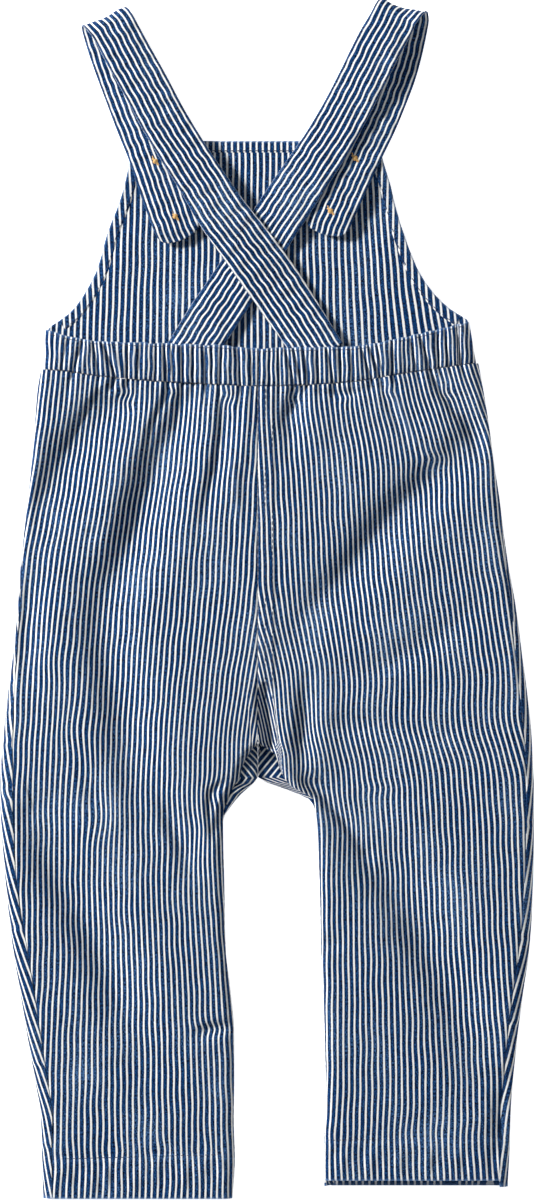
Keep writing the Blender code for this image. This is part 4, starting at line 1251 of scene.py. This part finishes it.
@dataclass
class Bib:
    """The bib: its inside face shows, with a turned hem on top and faced armholes."""

    columns: int = 150
    rows: int = 118
    hem: float = 6.0
    facing: float = 6.0
    lift: float = 2.95
    button_places: tuple[tuple[float, float], ...] = ((-60.2, 236.4), (47.4, 238.1))
    lines: tuple[BibRow, ...] = (
        BibRow(-72.0, 247.6, 60.5, 247.9, 0.0),
        BibRow(-74.0, 237.5, 62.4, 238.0, 0.0),
        BibRow(-75.9, 228.2, 65.0, 229.2, 0.0),
        BibRow(-78.0, 220.5, 67.2, 222.0, 0.0),
        BibRow(-80.2, 213.5, 68.6, 215.5, 0.0),
        BibRow(-86.0, 198.5, 73.6, 198.5, 0.0),
        BibRow(-91.8, 178.5, 81.5, 178.5, 0.0),
        BibRow(-98.8, 165.0, 89.8, 166.0, 0.0),
        BibRow(-105.3, 156.3, 98.3, 157.6, 0.0),
        BibRow(-112.4, 150.6, 104.8, 153.4, 0.0),
        BibRow(-117.6, 147.0, 108.2, 151.0, 0.1),
        BibRow(-119.6, 141.0, 109.4, 145.5, 1.0),
        BibRow(-120.2, 131.0, 111.4, 134.0, 1.0),
        BibRow(-121.2, 119.4, 113.8, 121.4, 1.0),
    )

    def waist_seam(self, x: np.ndarray) -> np.ndarray:
        """The height of the front waist seam at x."""
        last = self.lines[-1]
        return np.interp(x, (last.left_x, last.right_x), (last.left_y, last.right_y))

    def raise_at(self, x: np.ndarray, y: np.ndarray) -> np.ndarray:
        """How high the bib is held over the two buttons under its corners."""
        total = np.zeros(np.broadcast(x, y).shape)
        for bx, by in self.button_places:
            total = np.maximum(total, self.lift * smooth_step(38.0, 18.0, np.abs(x - bx))
                               * smooth_step(by - 23.0, by - 8.5, y))
        return total

    def grid(self) -> tuple[np.ndarray, np.ndarray, np.ndarray]:
        """The bib's underside, top to waist seam, with its sides curling up at the waist.

        Returns:
            The grid, its place in the cloth and its wear.
        """
        table = np.array(self.lines, dtype=float)
        knots = np.concatenate([[0.0], np.cumsum(np.abs(np.diff(table[:, 1])) + 0.4 * np.abs(np.diff(table[:, 0])))])
        at = np.linspace(0.0, knots[-1], self.rows)
        row = np.column_stack([Profile(knots, table[:, k])(at) for k in range(5)])[:, :, None]
        angle = np.linspace(0.0, math.pi / 2, 9)[None, :]
        width = row[:, 2] - row[:, 0]
        side = SIDE_RADIUS * (1.0 - np.cos(angle)) + 0 * width
        side_z = self.side_height * (1.0 - np.sin(angle)) * row[:, 4]
        middle = np.linspace(0.0, 1.0, self.columns - 16)[None, 1:-1]
        middle = SIDE_RADIUS + (width - 2 * SIDE_RADIUS) * middle
        way = np.hstack([side, middle, width - side[:, ::-1]]) / width
        z = np.hstack([side_z, np.zeros_like(middle), side_z[:, ::-1]])
        x = row[:, 0] + width * way
        y = row[:, 1] + (row[:, 3] - row[:, 1]) * way
        free = smooth_step(146.0, 160.0, y)
        fold = np.maximum(crease_height(x, y, self.folds), 0.0) * free
        z = z + self.raise_at(x, y) + fold
        wear_and_highlight = 0.4 * bell(np.minimum(x - row[:, 0], row[:, 2] - x), 0.9) + 0.5 * bell(self.lines[0].left_y - y, 0.8)
        place = x + 0.16 * ripple(x, y, 26.0, 3.3) + self.lean(x, y)
        return np.dstack([x, y, z]), np.dstack([place, y]), np.clip(wear_and_highlight, 0.0, 1.0)

    @staticmethod
    def lean(x: np.ndarray, y: np.ndarray) -> np.ndarray:
        """How far the stripes lean aside: outwards going down, and most by the right armhole."""
        right = 0.085 * (y - 205.0) * smooth_step(5.0, 85.0, x) + 0.10 * np.minimum(y - 190.0, 0.0) * smooth_step(
            60.0, 105.0, x)
        return right - 0.035 * (y - 205.0) * smooth_step(-20.0, -90.0, x)

    side_height: float = 4.85
    folds: tuple[Crease, ...] = (
        Crease(((84, 200), (88, 176), (93, 158)), 3.2, -1.1, 0.0, 0.3),
        Crease(((-70, 200), (-84, 176), (-94, 160)), 4.0, -0.8, 0.0, 0.3),
        Crease(((-20, 236), (4, 230), (26, 238)), 5.0, -0.7, 0.0, 0.5),
        Crease(((70, 205), (62, 182), (70, 160)), 5.0, -0.6, 0.0, 0.3),
    )

    def top_height(self, x: np.ndarray, y: np.ndarray) -> np.ndarray:
        """Height of the bib's upper face at a place on its flat part."""
        fold = np.maximum(crease_height(x, y, self.folds), 0.0) * smooth_step(146.0, 160.0, y)
        return self.raise_at(x, y) + fold + CLOTH

    def hem_strips(self) -> list[tuple[str, np.ndarray, np.ndarray]]:
        """The turned hem along the top and the two faced armholes, each as a strip's two edges.

        Returns:
            Name, outer edge and inner edge of each strip, as places in plan.
        """
        table = np.array(self.lines, dtype=float)
        left = through(table[:10, :2], 90)
        right = through(table[:10, 2:4], 90)
        strips = []
        for name, line, sign in (("bib_facing_left", left, 1.0), ("bib_facing_right", right, -1.0)):
            way = np.gradient(line, axis=0)
            way /= np.linalg.norm(way, axis=1, keepdims=True)
            inward = np.column_stack([-way[:, 1], way[:, 0]]) * sign
            strips.append((name, line + inward * 0.12, line + inward * self.facing))
        top = np.column_stack([np.linspace(-65.5, 54.5, 120), np.full(120, 247.5)])
        strips.append(("bib_top_hem", top, top - np.array([0.0, self.hem])))
        return strips


# ---- straps -------------------------------------------------------------------------------
class StrapPoint(NamedTuple):
    """A station on a strap: middle of its cloth, width, and its cross line's angle from +X."""

    x: float
    y: float
    z: float
    width: float
    turn: float


@dataclass
class Strap:
    """A shoulder strap of double cloth: up from its round end, over the fold and down the back."""

    name: str
    front: tuple[StrapPoint, ...]
    back: tuple[StrapPoint, ...]
    fold_way: float
    seed: float
    stations: int = 330
    around: int = 30
    thickness: float = 1.9
    fold_radius: float = 4.4
    fold_height: float = 5.7
    tip: float = 11.0
    stripe_squeeze: float = 1.09
    roll: float = 0.0

    def route(self) -> np.ndarray:
        """Stations along the whole strap: front part, half a circle at the fold, back part.

        Returns:
            Rows of x, y, z, width and turn.
        """
        first, last = self.front[-1], self.back[0]
        way = np.array([math.cos(math.radians(self.fold_way)), math.sin(math.radians(self.fold_way))])
        share = np.array([0.2, 0.4, 0.6, 0.8])
        angle = math.pi * (share - 0.5)
        centre = np.outer(1 - share, (first.x, first.y)) + np.outer(share, (last.x, last.y))
        centre = centre + self.fold_radius * np.cos(angle)[:, None] * way
        z = self.fold_height + self.fold_radius * np.sin(angle)
        turn = first.turn + (last.turn - first.turn) * share
        over = np.column_stack([centre, z, np.full(4, first.width), turn])
        return through(np.vstack([self.front, over, self.back]), self.stations, 3)

    def surface(self) -> tuple[np.ndarray, np.ndarray, np.ndarray]:
        """A flattened tube along the route, pillowed, with thin turned edges and soft ripples.

        Around each station the section is a super-ellipse: across is the half width times the
        cosine, and height is half the thickness times the sine to the power 0.45.

        Returns:
            The grid, its place in the cloth and its wear.
        """
        rows = self.route()
        steps = np.linalg.norm(np.diff(rows[:, :3], axis=0), axis=1)
        run = np.concatenate([[0.0], np.cumsum(steps)])
        short = np.clip((self.tip - run) / self.tip, 0.0, 1.0)
        half = rows[:, 3] / 2 * np.maximum((1.0 - short**2.9) ** (1 / 2.9), 0.22)
        way = np.gradient(rows[:, :3], axis=0)
        way /= np.linalg.norm(way, axis=1, keepdims=True)
        cross = np.radians(rows[:, 4])
        across = np.column_stack([np.cos(cross), np.sin(cross), np.zeros_like(cross)])
        across -= way * (across * way).sum(axis=1, keepdims=True)
        across /= np.linalg.norm(across, axis=1, keepdims=True)
        out = np.cross(across, way)
        turn = np.linspace(0.0, 2 * math.pi, self.around, endpoint=False)
        flat = np.sign(np.cos(turn)) * np.abs(np.cos(turn)) ** 0.8
        tall = np.sign(np.sin(turn)) * np.abs(np.sin(turn)) ** 0.45
        v = half[:, None] * flat[None, :]
        bulk = self.thickness / 2 * (0.86 + 0.14 * np.cos(v / 13.0 * math.pi / 2))
        level = 0.5 * ripple(run[:, None], v * 0.5, 8.0, self.seed) * bell(v, 30.0)
        grid = (rows[:, None, :3] + across[:, None, :] * v[..., None]
                + out[:, None, :] * (bulk * tall[None, :] + level)[..., None])
        rolled = self.roll * v * smooth_step(125.0, 155.0, run)[:, None]
        grid[..., 2] = np.maximum(grid[..., 2] + rolled, 0.0)
        free = 1.0 - 0.75 * np.abs(v / half[:, None]) ** 4
        place = v * self.stripe_squeeze + free * (0.24 * ripple(run[:, None], 0 * v, 30.0, self.seed + 1)
                                                  + 0.26 * ripple(run[:, None], v * 0.4, 8.0, self.seed + 2))
        place = place + np.where(tall < 0, 40 * STRIPE_PITCH, 0.0)
        uv = np.dstack([place, run[:, None] + 0 * v])
        wear_and_highlight = 0.3 * bell(np.abs(v) - half[:, None], 0.6) + 0.2 * bell(run[:, None] - 0.0, 0.8)
        return grid, uv, np.clip(wear_and_highlight, 0.0, 1.0)

    def build(self, finish: bpy.types.Material) -> bpy.types.Object:
        """Close the tube at both ends and dress it.

        Args:
            finish: The denim.

        Returns:
            The strap.
        """
        grid, uv, wear_and_highlight = self.surface()
        rows, columns = grid.shape[:2]
        number = np.arange(rows * columns).reshape(rows, columns)
        nxt = np.roll(number, -1, axis=1)
        tube = np.stack([number[:-1], number[1:], nxt[1:], nxt[:-1]], axis=-1).reshape(-1, 4)
        half = columns // 2
        k = np.arange(half - 1)
        first = number[0]
        last = number[-1]
        low = np.column_stack([first[k], first[k + 1], first[-(k + 2)], first[-(k + 1)]])
        high = np.column_stack([last[k], last[-(k + 1)], last[-(k + 2)], last[k + 1]])
        obj = make_mesh(self.name + "_cloth", grid.reshape(-1, 3), np.vstack([tube, low, high]))
        set_cloth(obj, uv.reshape(-1, 2) * MM, wear_and_highlight.ravel())
        recalc_outward(obj)
        publish(obj, finish, (self.name,))
        return obj


def recalc_outward(obj: bpy.types.Object) -> None:
    """Turn every face of a closed mesh outwards."""
    import bmesh

    work = bmesh.new()
    work.from_mesh(obj.data)
    bmesh.ops.recalc_face_normals(work, faces=work.faces)
    work.to_mesh(obj.data)
    work.free()


LEFT_STRAP = Strap(
    name="strap_left",
    fold_way=114.0,
    roll=-0.045,
    seed=1.3,
    front=(
        StrapPoint(-45.6, 194.2, 4.9, 25.0, 22.0),
        StrapPoint(-48.6, 201.6, 6.2, 25.0, 22.0),
        StrapPoint(-51.5, 209.1, 6.4, 25.0, 21.0),
        StrapPoint(-57.4, 225.3, 6.2, 25.0, 19.0),
        StrapPoint(-62.8, 241.5, 5.9, 25.0, 20.0),
        StrapPoint(-69.3, 257.7, 4.7, 25.0, 21.0),
        StrapPoint(-75.5, 273.9, 3.0, 24.8, 20.0),
        StrapPoint(-79.9, 285.7, 2.0, 24.8, 20.0),
        StrapPoint(-84.2, 298.0, 1.4, 24.8, 21.0),
        StrapPoint(-87.5, 309.0, 1.3, 24.8, 22.0),
    ),
    back=(
        StrapPoint(-83.3, 309.4, 10.1, 24.8, 27.0),
        StrapPoint(-80.0, 303.4, 10.1, 24.8, 29.0),
        StrapPoint(-74.0, 292.2, 10.0, 25.0, 30.0),
        StrapPoint(-64.7, 275.6, 9.7, 25.0, 29.0),
        StrapPoint(-56.3, 259.7, 9.4, 25.0, 30.0),
        StrapPoint(-46.9, 243.9, 9.2, 25.0, 32.0),
        StrapPoint(-36.4, 227.5, 9.1, 25.4, 32.0),
        StrapPoint(-23.8, 207.7, 9.0, 27.4, 34.0),
        StrapPoint(-11.5, 191.6, 8.0, 28.4, 35.0),
        StrapPoint(-3.7, 180.9, 6.9, 29.0, 35.0),
        StrapPoint(4.1, 170.2, 5.5, 29.0, 35.0),
        StrapPoint(11.4, 159.3, 4.9, 28.6, 35.0),
        StrapPoint(18.8, 148.3, 5.1, 27.6, 36.0),
        StrapPoint(25.7, 137.4, 5.9, 27.0, 36.0),
        StrapPoint(29.6, 131.2, 6.0, 27.0, 36.0),
    ),
)

RIGHT_STRAP = Strap(
    name="strap_right",
    fold_way=74.0,
    roll=0.045,
    seed=2.9,
    front=(
        StrapPoint(30.6, 197.2, 4.9, 25.0, -25.0),
        StrapPoint(33.0, 204.6, 6.2, 25.0, -25.0),
        StrapPoint(35.8, 211.2, 6.4, 25.0, -25.0),
        StrapPoint(43.6, 228.5, 6.2, 25.0, -24.0),
        StrapPoint(50.2, 242.6, 5.9, 25.0, -22.0),
        StrapPoint(57.8, 258.4, 4.7, 25.0, -20.0),
        StrapPoint(64.2, 274.0, 3.0, 25.0, -20.0),
        StrapPoint(68.2, 284.8, 2.0, 25.0, -19.0),
        StrapPoint(71.8, 297.6, 1.4, 24.8, -17.0),
        StrapPoint(75.0, 312.8, 1.3, 24.6, -16.0),
    ),
    back=(
        StrapPoint(69.2, 315.2, 10.1, 24.6, -17.0),
        StrapPoint(66.2, 309.2, 10.2, 24.8, -22.0),
        StrapPoint(61.6, 301.2, 10.2, 25.2, -27.0),
        StrapPoint(56.4, 291.1, 10.1, 25.2, -28.0),
        StrapPoint(51.1, 280.4, 9.9, 25.0, -28.0),
        StrapPoint(42.5, 263.7, 9.6, 25.0, -30.0),
        StrapPoint(32.8, 246.7, 9.4, 25.4, -33.0),
        StrapPoint(21.7, 229.9, 9.0, 26.0, -34.0),
        StrapPoint(11.4, 214.4, 7.8, 26.7, -34.0),
        StrapPoint(4.0, 203.2, 5.2, 26.8, -33.0),
        StrapPoint(-4.6, 190.0, 3.7, 26.8, -33.0),
        StrapPoint(-13.5, 176.2, 3.2, 26.4, -33.0),
        StrapPoint(-21.0, 164.8, 3.3, 26.6, -34.0),
        StrapPoint(-28.1, 154.2, 3.9, 27.0, -34.0),
        StrapPoint(-34.6, 143.9, 4.8, 27.0, -32.0),
        StrapPoint(-38.4, 137.6, 5.9, 27.0, -31.0),
        StrapPoint(-42.2, 131.2, 6.0, 27.0, -31.0),
    ),
)


# ---- studio -------------------------------------------------------------------------------
@dataclass
class Studio:
    """The pale surface, the soft lights and the camera that looks straight down."""

    height: float = 3.0
    view_width: float = 0.2884
    view_length: float = 0.648
    sensor: float = 36.0

    def lamp(self, name: str, place: Vector, aim: Vector, size: float, power: float) -> None:
        """A square area light.

        Args:
            name: The light's name.
            place: Where it is.
            aim: What it points at.
            size: Its side.
            power: Its power in watts.
        """
        data = bpy.data.lights.new(name, "AREA")
        data.shape = "SQUARE"
        data.size = size
        data.energy = power
        lamp = bpy.data.objects.new(name, data)
        lamp.location = place
        lamp.rotation_mode = "QUATERNION"
        lamp.rotation_quaternion = (aim - place).to_track_quat("-Z", "Y")
        bpy.context.scene.collection.objects.link(lamp)

    def build(self, surface: bpy.types.Material) -> None:
        """Lay the floor, hang the lights and set the camera.

        Args:
            surface: The floor's material.
        """
        half = 4.0
        mesh = bpy.data.meshes.new("surface")
        corners = [(-half, -half, -0.0004), (half, -half, -0.0004), (half, half, -0.0004), (-half, half, -0.0004)]
        mesh.from_pydata(corners, [], [(0, 1, 2, 3)])
        mesh.materials.append(surface)
        floor = bpy.data.objects.new("surface", mesh)
        bpy.context.scene.collection.objects.link(floor)
        centre = Vector((0.0, 0.0, 0.0))
        self.lamp("key", Vector((-1.9, 1.0, 1.35)), centre, 0.45, 82.0)
        self.lamp("fill", Vector((0.9, -0.4, 2.6)), centre, 2.4, 6.0)
        world = bpy.data.worlds.new("studio")
        world.use_nodes = True
        back = world.node_tree.nodes["Background"]
        back.inputs[0].default_value = (0.93, 0.96, 1.0, 1.0)
        back.inputs[1].default_value = 0.18
        bpy.context.scene.world = world
        data = bpy.data.cameras.new("camera")
        data.sensor_width = self.sensor
        data.lens = self.sensor * self.height / self.view_length
        data.clip_end = 20.0
        camera = bpy.data.objects.new("camera", data)
        camera.location = (0.0, 0.0, self.height)
        bpy.context.scene.collection.objects.link(camera)
        bpy.context.scene.camera = camera
        bpy.context.scene.view_settings.view_transform = "Standard"


# ---- the garment --------------------------------------------------------------------------
@dataclass
class Dungarees:
    """All the sub-assemblies of the garment, built in the order they lie."""

    denim: bpy.types.Material
    navy_thread: bpy.types.Material
    gold_thread: bpy.types.Material
    horn: bpy.types.Material
    left: Leg = field(default_factory=lambda: Leg(Side.LEFT, LEFT_ROWS, LEFT_GRAIN, -322.4, (-298.4, -301.2)))
    right: Leg = field(default_factory=lambda: Leg(
        Side.RIGHT, RIGHT_ROWS, RIGHT_GRAIN, -316.0, (-290.8, -290.0), fan=19.0, fan_reach=30.0,
        gusset=RIGHT_GUSSET, gusset_rise=(0.8, 0.5), side_lean=0.13, pit_edge=5.4, pit_lean=0.15))
    band: Waistband = field(default_factory=Waistband)
    bib: Bib = field(default_factory=Bib)

    def panels(self) -> None:
        """The four leg panels."""
        for leg, name in ((self.left, "left"), (self.right, "right")):
            up = leg.side is Side.LEFT
            grid, uv, wear_and_highlight = leg.back_grid(self.band.bottom, self.band.below)
            back = cloth_shell(f"back_{name}_cloth", grid, uv, wear_and_highlight, up)
            publish(back, self.denim, (f"back_{name}",))
            grid, uv, wear_and_highlight = leg.front_grid(self.bib.waist_seam)
            front = cloth_shell(f"front_{name}_cloth", grid, uv, wear_and_highlight, not up)
            publish(front, self.denim, (f"front_{name}",))
            LOG.info("leg %s: two panels", name)

    def waist(self) -> None:
        """The gathered waistband."""
        def across(x: np.ndarray, y: np.ndarray) -> np.ndarray:
            """The stripes' place carried up from whichever panel is below."""
            return np.where(x < CENTRE_SEAM_X, self.left.cloth_across(x, y), self.right.cloth_across(x, y))

        grid, uv, wear_and_highlight = self.band.grid(across)
        band = cloth_shell("waistband_cloth", grid, uv, wear_and_highlight, True, self.band.thickness)
        publish(band, self.denim, ("waistband",))
        LOG.info("waistband")

    def front_bib(self) -> None:
        """The bib with its turned hem and faced armholes."""
        grid, uv, wear_and_highlight = self.bib.grid()
        bib = cloth_shell("bib_cloth", grid, uv, wear_and_highlight, False)
        publish(bib, self.denim, ("bib",))
        slopes = {"bib_facing_left": 0.09, "bib_facing_right": -0.09, "bib_top_hem": 0.0}
        strips = [self.strip(name, outer, inner, slopes[name]) for name, outer, inner in self.bib.hem_strips()]
        LOG.info("bib with %d turned edges", len(strips))

    def strip(self, name: str, outer: np.ndarray, inner: np.ndarray, slope: float) -> bpy.types.Object:
        """A turned edge on the bib's inside: a low strip from the outer to the inner line.

        Across it the height is the cloth's thickness times a round shoulder at both edges.

        Args:
            name: The piece's name.
            outer: The garment's edge in plan.
            inner: The strip's other edge.
            slope: How far its stripes lean aside for each millimetre up.

        Returns:
            The strip.
        """
        v = np.linspace(0.0, 1.0, 13)[None, :]
        x = outer[:, :1] + (inner - outer)[:, :1] * v
        y = outer[:, 1:] + (inner - outer)[:, 1:] * v
        width = np.linalg.norm(inner - outer, axis=1)[:, None]
        shoulder = round_over(v * width, 0.5) * round_over((1 - v) * width, 1.6)
        z = self.bib.top_height(x, y) + 0.05 + 0.42 * shoulder
        grid = np.dstack([x, y, z])
        place = np.dstack([x + 0.6 + self.bib.lean(x, y) + slope * (y - 200.0), y])
        wear_and_highlight = 0.55 * bell(v * width, 0.7)
        up = float(np.cross(grid[1, 0] - grid[0, 0], grid[0, 1] - grid[0, 0])[2]) > 0
        obj = cloth_shell(name, grid, place, np.clip(wear_and_highlight, 0, 1), up, 0.4)
        publish(obj, self.denim)
        return obj

    def straps(self) -> None:
        """The two straps, the right one first because it lies under the left."""
        for strap in (RIGHT_STRAP, LEFT_STRAP):
            obj = strap.build(self.denim)
            LOG.info("%s", strap.name)

    def stitches(self) -> None:
        """Every row of topstitching, on the height of the cloth it holds."""
        up_way = np.array([0.0, 0.0, 1.0])

        def sew(name: str, x: np.ndarray, y: np.ndarray, z: np.ndarray) -> None:
            """One row of navy stitches."""
            line = np.column_stack([x, y, z])
            row = stitch_row(name, line, np.tile(up_way, (len(line), 1)))
            publish(row, self.navy_thread)

        def back_z(leg: Leg, x: np.ndarray, y: np.ndarray) -> np.ndarray:
            """Height of a back panel under a stitch."""
            return leg.back_height(x, y, self.band.below)

        for leg, name in ((self.left, "left"), (self.right, "right")):
            hem_x = np.linspace(float(leg.inner(np.array(-300.0))) + leg.sign * 1.0,
                                float(leg.outer(np.array(-300.0))) - leg.sign * 6.0, 220)
            hem_y = leg.hem_depth(hem_x)
            sew(f"hem_stitch_{name}", hem_x, hem_y, back_z(leg, hem_x, hem_y))
        for k, away in enumerate((4.0, 7.9)):
            y = np.linspace(114.0, -54.0, 300)
            x = CENTRE_SEAM_X + away + 0.25 * ripple(y * 0, y, 60.0, 4.0)
            sew(f"seat_seam_stitch_{k}", x, y, back_z(self.right, x, y))
        x = np.linspace(-117.5, 109.5, 800)
        sew("waistband_stitch_low", x, self.band.bottom(x) + 0.3, self.band.height(x, self.band.bottom(x) + 0.3))
        x = np.linspace(-116.5, 106.0, 800)
        sew("waistband_stitch_top", x, self.band.top(x) - 1.7, self.band.height(x, self.band.top(x) - 1.7))
        for name, outer, inner in self.bib.hem_strips():
            line = outer + (inner - outer) * 0.84
            z = self.bib.top_height(line[:, 0], line[:, 1]) + 0.36
            sew(f"{name}_stitch", line[:, 0], line[:, 1], z)
        LOG.info("topstitching")

    def crossing(self) -> None:
        """Two rows that hold the straps together where they cross."""
        for k, (start, end) in enumerate((((-22.1, 186.6), (-9.2, 206.3)), ((-6.2, 165.5), (7.0, 185.2)))):
            t = np.linspace(0.0, 1.0, 60)[:, None]
            plan = np.array(start) + (np.array(end) - np.array(start)) * t
            z = strap_top(LEFT_STRAP, plan)
            line = np.column_stack([plan, z])
            row = stitch_row(f"crossing_stitch_{k}", line, np.tile([0.0, 0.0, 1.0], (60, 1)), 2.2, 1.0, 0.34)
            publish(row, self.navy_thread)

    def buttons(self) -> None:
        """The four buttons' finish and their sewing threads on the straps."""
        places = (("button_left_upper", -60.2, 236.4, LEFT_STRAP), ("button_left_lower", -49.5, 206.7, LEFT_STRAP),
                  ("button_right_upper", 47.4, 238.1, RIGHT_STRAP),
                  ("button_right_lower", 34.2, 209.6, RIGHT_STRAP))
        for name, x, y, strap in places:
            node = bpy.data.objects[name]
            node.data.materials.clear()
            node.data.materials.append(self.horn)
            top = front_top(strap, x, y)
            thread = thread_mark(f"{name}_thread", x, y, top)
            publish(thread, self.gold_thread)
        LOG.info("buttons and their threads")


def strap_top(strap: Strap, plan: np.ndarray) -> np.ndarray:
    """Height of the strap's back part at places in plan, from its nearest station."""
    rows = strap.route()
    rows = rows[int(np.argmax(rows[:, 1])):]
    near = np.argmin(np.linalg.norm(rows[None, :, :2] - plan[:, None, :], axis=2), axis=1)
    return rows[near, 2] + strap.thickness / 2 + 0.06


def front_top(strap: Strap, x: float, y: float) -> float:
    """Height of the strap's front part at one place, from its nearest station."""
    rows = strap.route()
    rows = rows[: int(np.argmax(rows[:, 1]))]
    near = int(np.argmin(np.hypot(rows[:, 0] - x, rows[:, 1] - y)))
    return float(rows[near, 2] + strap.thickness / 2)


def thread_mark(name: str, x: float, y: float, z: float) -> bpy.types.Object:
    """The sewing threads of one button: a knot of short crossing strands with two loose ends.

    Args:
        name: The piece's name.
        x: Its middle across.
        y: Its middle along.
        z: The strap's top.

    Returns:
        The piece.
    """
    strands = []
    for k, (angle, reach, lift) in enumerate(((0.1, 1.35, 0.5), (0.6, 1.3, 0.6), (1.2, 1.3, 0.55), (1.8, 1.3, 0.6),
                                              (2.4, 1.3, 0.5), (2.9, 1.2, 0.6), (2.0, 2.5, 0.25),
                                              (-0.8, 2.3, 0.22))):
        t = np.linspace(-1.0, 1.0 if k < 6 else 1.3, 24)
        bend = 0.35 * np.sin(t * 2.2 + k)
        sx = x + reach * t * math.cos(angle) - bend * math.sin(angle)
        sy = y + reach * t * math.sin(angle) + bend * math.cos(angle)
        sz = z + lift * (1.0 - t**2).clip(0.0, 1.0) + 0.12
        strands.append(np.column_stack([sx, sy, sz]))
    rings, faces, base = [], [], 0
    for line in strands:
        way = np.gradient(line, axis=0)
        way /= np.linalg.norm(way, axis=1, keepdims=True)
        side = np.cross(way, [0.0, 0.0, 1.0])
        side /= np.linalg.norm(side, axis=1, keepdims=True)
        out = np.cross(side, way)
        turn = np.linspace(0.0, 2 * math.pi, 6, endpoint=False)[None, :, None]
        ring = line[:, None] + 0.30 * (np.cos(turn) * side[:, None] + np.sin(turn) * out[:, None])
        number = base + np.arange(ring.shape[0] * 6).reshape(-1, 6)
        nxt = np.roll(number, -1, axis=1)
        faces.append(np.stack([number[:-1], nxt[:-1], nxt[1:], number[1:]], axis=-1).reshape(-1, 4))
        for end, turned in ((number[0], 1), (number[-1], -1)):
            caps = np.array([[end[0], end[1], end[2], end[3]], [end[0], end[3], end[4], end[5]]])
            faces.append(caps[:, ::-turned])
        rings.append(ring.reshape(-1, 3))
        base += ring.shape[0] * 6
    obj = make_mesh(name, np.vstack(rings), np.vstack(faces))
    recalc_outward(obj)
    return obj


def main() -> None:
    """Build the garment's sub-assemblies in order, then the studio."""
    logging.basicConfig(level=logging.INFO)
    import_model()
    Studio().build(Paper().build())
    garment = Dungarees(
        denim=StripedDenim().build(),
        navy_thread=Thread("navy thread", (34, 56, 104), (12, 26, 60)).build(),
        gold_thread=Thread("gold thread", (250, 208, 138), (222, 166, 90)).build(),
        horn=Horn().build(),
    )
    garment.front_bib()
    garment.panels()
    garment.waist()
    garment.straps()
    garment.stitches()
    garment.crossing()
    garment.buttons()


if __name__ == "__main__":
    main()
